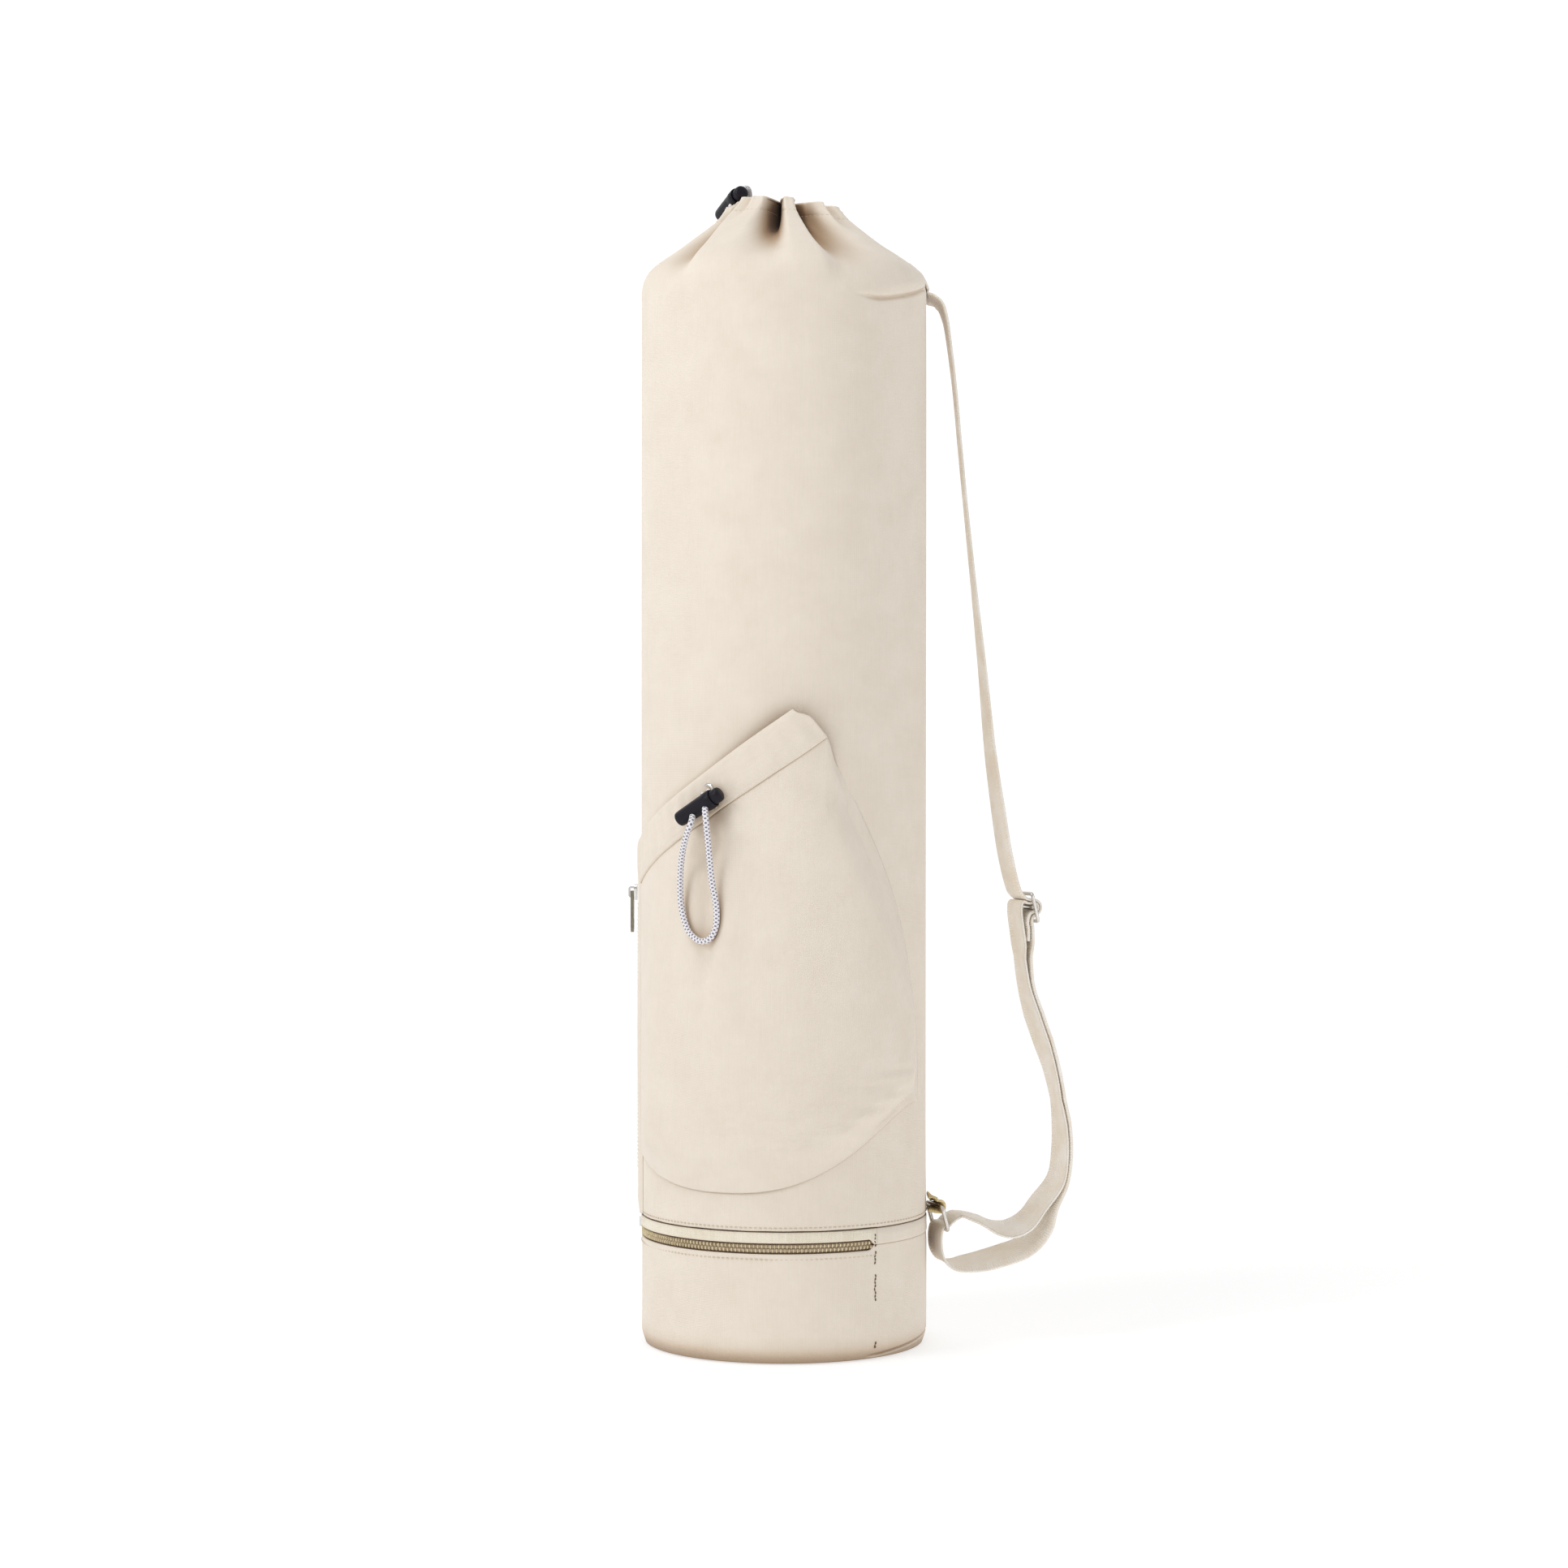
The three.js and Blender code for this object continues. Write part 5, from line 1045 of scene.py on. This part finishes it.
def frayed_threads():
    """Loose thread ends in the open end of the hem."""
    threads = [
        (20, 2.4, 0.5, 5.0), (18, 1.6, -0.4, 4.0), (21, 3.0, 0.9, 6.0),
        (15, 2.0, 0.2, 3.5), (19, 2.2, -0.9, 4.5)]
    t = np.linspace(0, 1, 7)[:, None]
    for k, (up, off, lean, reach) in enumerate(threads):
        start = hem_point(0.985, up, off)
        side = unit(hem_point(1.0, up, off) - hem_point(0.97, up, off))
        bend = np.array([0.0, 0.0, 1.0]) * lean * 3 * t**2 + np.array([0.3, -0.4, 0.0]) * np.sin(3 * t + k)
        path = start + side * reach * t + bend
        piece = tube(f"hem_thread_{k + 1}", path, 0.22, THREAD_LOOK, sides=6)
        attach(piece, "root")


pocket_cloth()
hem_cloth()
frayed_threads()


def side_pocket_cloth():
    """The flat raised pocket on the left, with turned edges and a slot for its zip."""
    behind = np.linspace(SIDE_BACK, SIDE_ZIP_ANGLE - 2.1, 70)
    before = np.linspace(SIDE_ZIP_ANGLE + 2.1, SIDE_FRONT + 1.4, 14)
    foot, head = [0, 0.005, 0.012, 0.02], [0.98, 0.988, 0.995, 1.0]
    up = np.concatenate([foot, np.linspace(0.04, 0.96, 40), head])[:, None]
    for name, part in (("side_pocket_cloth", behind), ("side_pocket_front", before)):
        a = part[None]
        share = (a - SIDE_FRONT) / (SIDE_BACK - SIDE_FRONT)
        edge = ease((share + 0.02) / 0.05) * ease((1 - share) / 0.08)
        stand = SIDE_FULL * edge * ease(up / 0.04) * ease((1 - up) / 0.04)
        slack = 0.25 * np.sin(np.radians(a * 6) + up * 9) * edge * ease(up / 0.1) * ease((1 - up) / 0.1)
        turned = POCKET_CLOTH * ease((share + 0.016) / 0.05)
        points = around(a, BODY_RADIUS + GAP + turned + stand + slack, mix(SEAM_HEIGHT + 1, SIDE_TOP, up))
        piece = surface(name, points, CANVAS_LOOK, arc_uv(points), thick=1.0)
        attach(piece, "root")
        if name == "side_pocket_cloth":
            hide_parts("side_pocket")
    ends = (
        ("side_zip_end_low", SEAM_HEIGHT + 1, SIDE_ZIP_LOW), ("side_zip_end_high", SIDE_ZIP_TOP, SIDE_TOP))
    for name, low, high in ends:
        a = SIDE_ZIP_ANGLE + np.linspace(-2.2, 2.2, 5)[None]
        h = np.linspace(low, high, 12)[:, None]
        edge = ease((SIDE_TOP - h) / 8) * ease((h - SEAM_HEIGHT) / 8)
        points = around(a, BODY_RADIUS + GAP + POCKET_CLOTH + SIDE_FULL * edge, h)
        piece = surface(name, points, CANVAS_LOOK, arc_uv(points), thick=1.0)
        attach(piece, "root")
    height = np.full(200, SIDE_TOP - 4.0)
    line = around(np.linspace(SIDE_BACK + 2, SIDE_FRONT - 1, 200), BODY_RADIUS + 1.9, height)
    stitches("side_pocket_stitching", line, outward_of(line))


side_pocket_cloth()


# Cord locks and the eyelet
def lock_placed(small_end, along, cords_out):
    """Lock frame: z along the barrel, -y the way the cords come out."""
    z = unit(along)
    y = -np.asarray(cords_out, float)
    y = unit(y - np.dot(y, z) * z)
    return np.column_stack([np.cross(y, z), y, z]), np.asarray(small_end, float)


def cord_lock(prefix, body, placed):
    """A smooth barrel with a flared collar, and a domed button in its cup, both turned."""
    barrel = [
        (0.001, 0), (2.2, 0.05), (3.6, 0.35), (4.3, 1.0), (4.6, 2.0), (4.75, 5), (4.95, 10), (5.1, 14),
        (5.2, 17), (5.3, 19.5), (5.35, 21.5), (5.6, 22.2), (5.65, 24.6), (5.6, 27.0), (5.3, 27.6),
        (4.9, LOCK_LENGTH), (4.8, 27.4), (4.8, 23.8), (3.4, 23.7), (3.4, 4.2), (0.001, 4.1)]
    top = LOCK_LENGTH + 6
    button = [
        (0.001, 8), (3.1, 8), (3.1, 27.1), (4.4, 27.2), (4.5, 27.6), (4.5, top - 2.2),
        (4.2, top - 1.0), (3.4, top - 0.4), (2.0, top - 0.08), (0.001, top)]
    for part, profile, rides in (("barrel", barrel, "root"), ("button", button, body)):
        piece = surface(f"{prefix}_{part}_shape", lathe(profile, placed, 40), PLASTIC_LOOK, ring=True)
        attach(piece, rides)
        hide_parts(f"{prefix}_{part}")


# Each lock's small end, the way along its barrel and the way its cords come out
POCKET_LOCK = ((-62.8, -81.7, 322.5), (0.763, -0.428, 0.485), (-0.008, -0.756, -0.655))
TOP_LOCK = ((-39.5, 15.0, 698.5), (0.418, -0.858, 0.3), (0.417, 0.473, 0.776))

cord_lock("pocket_lock", "pocket_button", lock_placed(*POCKET_LOCK))
cord_lock("top_lock", "top_button", lock_placed(*TOP_LOCK))


def eyelet():
    """The nickel eyelet in the hem: a rolled rim turned about its hole."""
    def near(along, up):
        """A point of the hem's face beside the eyelet's middle."""
        return hem_point(EYELET_ALONG + along, EYELET_UP + up, HEM_THICK)

    sideways = near(0.03, 0) - near(-0.03, 0)
    upwards = near(0, 4) - near(0, -4)
    placed = basis(near(0, 0), np.cross(sideways, upwards), (0.0, 0.0, 1.0))
    low, high = 0.4, 1.2
    profile = [
        (2.9, low), (4.55, low), (4.62, low + 0.2), (4.4, low + 0.5), (3.9, high - 0.05), (3.4, high),
        (3.05, high - 0.15), (2.9, high - 0.4), (2.9, low)]
    piece = surface("eyelet_ring", lathe(profile, placed, 48), NICKEL_LOOK, ring=True)
    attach(piece, "root")
    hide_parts("pocket_eyelet")


eyelet()


# The strap

# Upper run: share of the way out and of the drop
STRAP_FALL = [
    (0, 0), (0.09, 0.008), (0.163, 0.0185), (0.215, 0.040), (0.249, 0.071), (0.317, 0.151), (0.388, 0.265),
    (0.45, 0.36), (0.544, 0.495), (0.642, 0.632), (0.732, 0.77), (0.819, 0.865), (0.9, 0.943)]

# Loop: share of its reach and of the rise from the ring to the slider, turn about Z and tilt
STRAP_DOUBLE = [
    (0.679, 0.841, 11, 0), (0.705, 0.752, 13, 0), (0.769, 0.664, 19, 0), (0.85, 0.574, 19, 0),
    (0.914, 0.496, 14, 0), (0.967, 0.402, 10, 0), (0.997, 0.320, 16, 0), (1.0, 0.232, 19, 2),
    (0.967, 0.149, 19, 8)]
STRAP_OUT = [
    (0.902, 0.0756, 18, 13), (0.857, 0.0126, 17, 16), (0.773, -0.0337, 16, 18), (0.66, -0.0655, 16, 20),
    (0.504, -0.0866, 16, 20), (0.363, -0.102, 16, 19), (0.209, -0.112, 16, 14), (0.093, -0.113, 16, 8),
    (0.013, -0.099, 16, 3)]
STRAP_IN = [
    (0.289, 0.0287, 12, 8), (0.451, 0.0005, 14, 14), (0.573, -0.003, 16, 17), (0.697, 0.0196, 17, 17),
    (0.81, 0.0756, 18, 13)]


def ring_frame():
    """The ring's bar direction, the way down its legs and its two bar centres."""
    turn, lean = np.radians(RING_TURN), np.radians(RING_LEAN)
    bar = np.array([-np.sin(turn), np.cos(turn), 0.0])
    leg = np.array([np.sin(lean), 0.0, -np.cos(lean)])
    leg = unit(leg - np.dot(leg, bar) * bar)
    top = np.array([BODY_RADIUS + RING_OUT, 0.0, SEAM_HEIGHT + RING_OVER_SEAM])
    return bar, leg, top, top + leg * RING_HEIGHT


def slider_point(down, out):
    """X and Z of a place down from the slider's middle and out from it, on its lean."""
    lean = np.radians(SLIDER_LEAN)
    x = SLIDER_AT[0] + down * np.sin(lean) + out * np.cos(lean)
    return x, SLIDER_AT[1] - down * np.cos(lean) + out * np.sin(lean)


def slant(x, z):
    """How far the strap's plane stands aside at a place near its slider, which is turned about Z."""
    away = abs(z - SLIDER_AT[1]) / SLIDER_SPAN
    return (x - SLIDER_AT[0]) * np.tan(np.radians(SLIDER_TURN)) * (1 - ease((away - 1.7) / 2.9))


TURN_RADIUS = float(np.hypot(BAR, SLIDER_PLATE / 2)) + GAP + WEB_THICK / 2
OVER_RADIUS = TURN_RADIUS + WEB_THICK + GAP


def strap_rows():
    """The strap's path rows, from the shoulder to its end: place, turn of its width about Z, tilt."""
    rows = []
    for along in (0.36, 0.28, 0.2):
        a, b = crown_base(STRAP_ANGLE, along)
        rows.append((*(a + b * (WEB_THICK / 2 + 0.2)), STRAP_ANGLE - 90, 0))
    aside = rows[2][1]
    start = (BODY_RADIUS + 1.2, CROWN_FOOT + 8.3)
    end = slider_point(-11.7, -OVER_RADIUS - 1)
    for across, drop in STRAP_FALL:
        face = (STRAP_ANGLE - 90) * (1 - ease(across / 0.3)) + SLIDER_TURN * ease((across - 0.45) / 0.45)
        x, z = mix(start[0], end[0], across), mix(start[1], end[1], drop)
        rows.append((x, aside * (1 - across) + slant(x, z), z, face, 0))

    def weave(places):
        """Adds places near the slider, given down and out from its middle."""
        for down, out in places:
            x, z = slider_point(down, out)
            rows.append((x, slant(x, z), z, SLIDER_TURN, 0))

    def arc(radius, steps):
        """Adds half a turn round the slider's bar."""
        for turn in np.radians(np.linspace(0, 180, steps + 1)):
            x, z = slider_point(-radius * np.cos(turn), radius * np.sin(turn))
            rows.append((x, slant(x, z), z, SLIDER_TURN, 0))

    slot = SLIDER_SPAN / 2
    weave([(-11.7, -OVER_RADIUS - 1), (-slot, -OVER_RADIUS + 0.1), (-slot * 0.69, -OVER_RADIUS * 0.55)])
    arc(OVER_RADIUS, 6)
    weave([(slot * 0.74, -OVER_RADIUS * 0.46), (slot, -OVER_RADIUS * 0.64), (12.4, -3.3), (21.6, -5.3)])
    low = ring_frame()[3]
    rise = SLIDER_AT[1] - low[2]
    double = np.array([(low[0] + reach * LOOP_REACH, low[2] + up * rise) for reach, up, _, _ in STRAP_DOUBLE])

    def layer(side):
        """One of the two layers of the doubled run, set off to its side of the middle line."""
        placed = []
        for i, (x, z) in enumerate(double):
            before, after = double[max(i - 1, 0)], double[min(i + 1, len(double) - 1)]
            run = np.hypot(*(after - before))
            apart = side * (WEB_THICK / 2 + (1.2 if i == 0 else LAYER_GAP / 2))
            x, z = x - apart * (after[1] - before[1]) / run, z + apart * (after[0] - before[0]) / run
            placed.append((x, slant(x, z), z, *STRAP_DOUBLE[i][2:]))
        return placed

    rows.extend(layer(1))
    for reach, up, turn, tilt in STRAP_OUT:
        rows.append((low[0] + reach * LOOP_REACH, 0, low[2] + up * rise, turn, tilt))
    r = BAR + GAP + WEB_THICK / 2
    at_ring = [
        (-2.6, -14), (-3.4, -7.5), (-3.1, -2.4), (-r * 0.92, r * 0.4), (-r * 0.3, r),
        (r * 0.8, r * 1.1), (4.4, 4.8), (8.8, 7.3), (13.8, 7.9)]
    for x, z in at_ring:
        shift = np.tan(np.radians(RING_TURN)) * np.clip(x, -4, 3)
        rows.append((low[0] + x, low[1] + shift, low[2] + z, RING_TURN * (1 if x < 10 else 0.7), 0))
    for reach, up, turn, tilt in STRAP_IN:
        rows.append((low[0] + reach * LOOP_REACH, 0, low[2] + up * rise, turn, tilt))
    rows.extend(layer(-1)[::-1])
    weave([
        (21.6, -10.4), (12, -9.4), (4, -8.6), (-0.5, -7.8), (-3.8, -6.6), (-4.9, -4.9),
        (-TURN_RADIUS * 1.25, -TURN_RADIUS)])
    arc(TURN_RADIUS, 5)
    weave([(TURN_RADIUS * 1.3, -TURN_RADIUS * 1.1), (8, -5.6), (12.2, -6.0), (19.5, -7.8)])
    return np.array(rows, float)


def crown_base(angle, along):
    """A point of the crown without its fine gathers, and the way out of the cloth there."""
    step = 0.05
    near = np.array([along - step, along, along + step])
    closing, rise = read_table(CROWN_CLOSING, near), read_table(CROWN_RISE_AT, near)
    radius = BODY_RADIUS - (BODY_RADIUS - MOUTH_RADIUS) * closing[1]
    inward = (closing[2] - closing[0]) * (BODY_RADIUS - MOUTH_RADIUS)
    tip = np.arctan2(inward, (rise[2] - rise[0]) * CROWN_RISE)
    outward = around(angle, 1.0, 0.0)
    return (around(angle, radius, crown_height(np.array(angle, float), np.array(along, float))),
            outward * np.cos(tip) + np.array([0, 0, np.sin(tip)]))


def ribbon_grid(rows, samples, width, thick):
    """Webbing carried along path rows: a flat section with rounded edges, and its cloth map."""
    keys = np.arange(len(rows))
    centre = smooth_through(rows[:, :3], samples)
    share = np.linspace(0, len(rows) - 1, len(centre))
    turn = np.radians(np.interp(share, keys, rows[:, 3]))
    tilt = np.radians(np.interp(share, keys, rows[:, 4]))
    tangent = unit(np.gradient(centre, axis=0))
    wide = np.stack([-np.sin(turn) * np.cos(tilt), np.cos(turn) * np.cos(tilt), np.sin(tilt)], -1)
    wide = unit(wide - np.sum(wide * tangent, 1, keepdims=True) * tangent)
    out = np.cross(tangent, wide)
    w, t = width / 2, thick / 2
    section = np.array([
        (-w + 0.7, -t), (-w + 0.25, -t * 0.75), (-w, 0), (-w + 0.25, t * 0.75), (-w + 0.7, t),
        (-w * 0.5, t), (0, t), (w * 0.5, t), (w - 0.7, t), (w - 0.25, t * 0.75), (w, 0),
        (w - 0.25, -t * 0.75), (w - 0.7, -t), (w * 0.5, -t), (0, -t), (-w * 0.5, -t)])
    points = centre[:, None] + wide[:, None] * section[None, :, :1] + out[:, None] * section[None, :, 1:2]
    run = run_length(centre)
    across = np.append(section[:, 0], section[0, 0])
    uv = np.stack(np.broadcast_arrays(across[None], run[:, None]), -1)
    return points[:, ::-1], uv[:, ::-1]


def strap():
    """The whole shoulder strap: one webbing carried along its path rows."""
    points, uv = ribbon_grid(strap_rows(), 5, WEB_WIDTH, WEB_THICK)
    piece = surface("strap_cloth", points, WEBBING_LOOK, uv, ring=True, close_rows=True)
    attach(piece, "root")
    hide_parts("strap_webbing")


def ring_tab():
    """The tab out of the base seam, round the ring's upper bar and back."""
    top = ring_frame()[2]
    r = BAR + GAP + WEB_THICK / 2
    wall = BODY_RADIUS + GAP - top[0]
    path = [
        (wall + 0.7, 5.9, 0), (wall * 0.5, 5.3, 0.5), (-0.4, r * 1.35, 1), (r * 0.78, r * 0.78, 1),
        (r, 0, 1), (r * 0.75, -r * 0.75, 1), (-0.2, -r * 1.06, 1), (wall * 0.5, -r * 1.12, 0.7),
        (wall + 0.7, -r, 0)]
    rows = np.array([(top[0] + x, 0, top[2] + z, RING_TURN * share, 0) for x, z, share in path])
    points, uv = ribbon_grid(rows, 8, WEB_WIDTH, WEB_THICK)
    piece = surface("ring_tab_cloth", points, TAB_SHADED_LOOK, uv, ring=True, close_rows=True)
    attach(piece, "root")
    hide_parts("ring_tab")


def rounded_loop(half_width, half_height, corner, steps=10):
    """Points of a rectangle with round corners in the XY plane."""
    points = []
    for i, (sx, sy) in enumerate([(1, 1), (-1, 1), (-1, -1), (1, -1)]):
        turn = np.radians(np.linspace(i * 90, i * 90 + 90, steps))
        x = sx * (half_width - corner) + corner * np.cos(turn)
        y = sy * (half_height - corner) + corner * np.sin(turn)
        points.append(np.stack([x, y, np.zeros(steps)], -1))
    return np.vstack(points)


def carried_round(loop, out_reach, up_reach, section, placed):
    """A section carried round a flat closed loop: its first part out of the loop, its second along Z."""
    quarter_turn = np.array([[0, -1, 0], [1, 0, 0], [0, 0, 0]], float)
    out = unit(np.roll(loop, -1, 0) - np.roll(loop, 1, 0)) @ quarter_turn
    sideways = out_reach * out[:, None] * section[0][None, :, None]
    grid = loop[:, None] + sideways + up_reach * np.array([0, 0, 1.0]) * section[1][None, :, None]
    return put(np.concatenate([grid, grid[:1]]), placed)


def ring():
    """The wire ring, leaning out from the tab."""
    bar, leg, top, low = ring_frame()
    placed = (np.column_stack([bar, -leg, np.cross(bar, -leg)]), (top + low) / 2)
    loop = rounded_loop(WEB_WIDTH / 2 + 1 + BAR, RING_HEIGHT / 2, 3)
    turn = np.linspace(0, 2 * np.pi, 16, endpoint=False)
    grid = carried_round(loop, BAR, BAR, (np.cos(turn), np.sin(turn)), placed)
    piece = surface("ring_wire", grid, NICKEL_LOOK, ring=True)
    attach(piece, "root")
    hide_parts("strap_ring")


def strap_slider():
    """The strap slider: a flattened frame with rounded edges and a round centre bar."""
    x, z = slider_point(0, 0)
    lean = np.radians(SLIDER_LEAN)
    turn = np.radians(SLIDER_TURN)
    facing = (np.cos(turn) * np.cos(lean), np.sin(turn) * np.cos(lean), np.sin(lean))
    placed = basis((x, 0, z), facing, (0, 0, 1))
    loop = rounded_loop(WEB_WIDTH / 2 + 0.6 + 1.2, SLIDER_SPAN / 2, 2)
    turn = np.linspace(0, 2 * np.pi, 16, endpoint=False)
    squared = [np.sign(part) * np.abs(part) ** 0.6 for part in (np.cos(turn), np.sin(turn))]
    grid = carried_round(loop, 1.25, SLIDER_PLATE / 2, squared, placed)
    piece = surface("slider_frame", grid, NICKEL_LOOK, ring=True)
    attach(piece, "root")
    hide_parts("strap_slider")
    ends = put(np.array([[-13.4, 0, 0], [-6, 0, 0], [6, 0, 0], [13.4, 0, 0]]), placed)
    bar = tube("slider_bar", ends, 1.05, NICKEL_LOOK, sides=16)
    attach(bar, "root")


strap()
ring_tab()
ring()
strap_slider()


# Hard CAD pieces keep their shape and take their finish
for node, look in (
        ("base_zip_slider", NICKEL_LOOK), ("side_zip_slider", NICKEL_LOOK), ("side_zip_puller", PULL_LOOK)):
    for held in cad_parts[node].material_slots:
        held.material = look


# Stage and light
STAGE_SIZE = 14.0
SURROUND_LIGHT = 0.58


def plain_stage(name, size, place, turn, base, glow):
    """A staged white plane that gives off an even light of its own."""
    bpy.ops.mesh.primitive_plane_add(size=size, location=place, rotation=turn)
    plane = bpy.context.object
    plane.name = name
    material, nodes, links, shader = new_material(name)
    shader.inputs["Base Color"].default_value = (base, base, base, 1.0)
    shader.inputs["Roughness"].default_value = 0.9
    shader.inputs["Emission Color"].default_value = (1.0, 1.0, 1.0, 1.0)
    shader.inputs["Emission Strength"].default_value = glow
    plane.data.materials.append(material)


def studio():
    """A white floor and backdrop without a horizon, and soft light from the left and above."""
    plain_stage("floor", STAGE_SIZE, (0.0, 0.0, 0.0), (0.0, 0.0, 0.0), 0.45, 0.62)
    plain_stage("backdrop", STAGE_SIZE, (0.0, 6.0, 4.0), (np.pi / 2, 0.0, 0.0), 0.1, 1.0)
    world = bpy.data.worlds.new("surround")
    world.use_nodes = True
    surround = world.node_tree.nodes["Background"]
    surround.inputs["Color"].default_value = (1.0, 1.0, 1.0, 1.0)
    surround.inputs["Strength"].default_value = SURROUND_LIGHT
    bpy.context.scene.world = world
    for name, place, aim, size, power in (
            ("key", (-1.9, -1.2, 1.5), (0.0, 0.0, 0.38), 0.9, 13.0),
            ("top", (-0.7, -0.5, 2.0), (0.0, 0.0, 0.6), 0.6, 7.0),
            ("fill", (1.7, -1.5, 0.7), (0.0, 0.0, 0.35), 1.4, 5.0)):
        data = bpy.data.lights.new(name, "AREA")
        data.size = size
        data.energy = power
        light = bpy.data.objects.new(name, data)
        light.location = place
        away = np.array(place) - np.array(aim)
        tip = np.arctan2(np.hypot(away[0], away[1]), away[2])
        light.rotation_euler = (tip, 0.0, np.arctan2(away[1], away[0]) + np.pi / 2)
        bpy.context.scene.collection.objects.link(light)
    bpy.context.scene.view_settings.view_transform = "Standard"


studio()
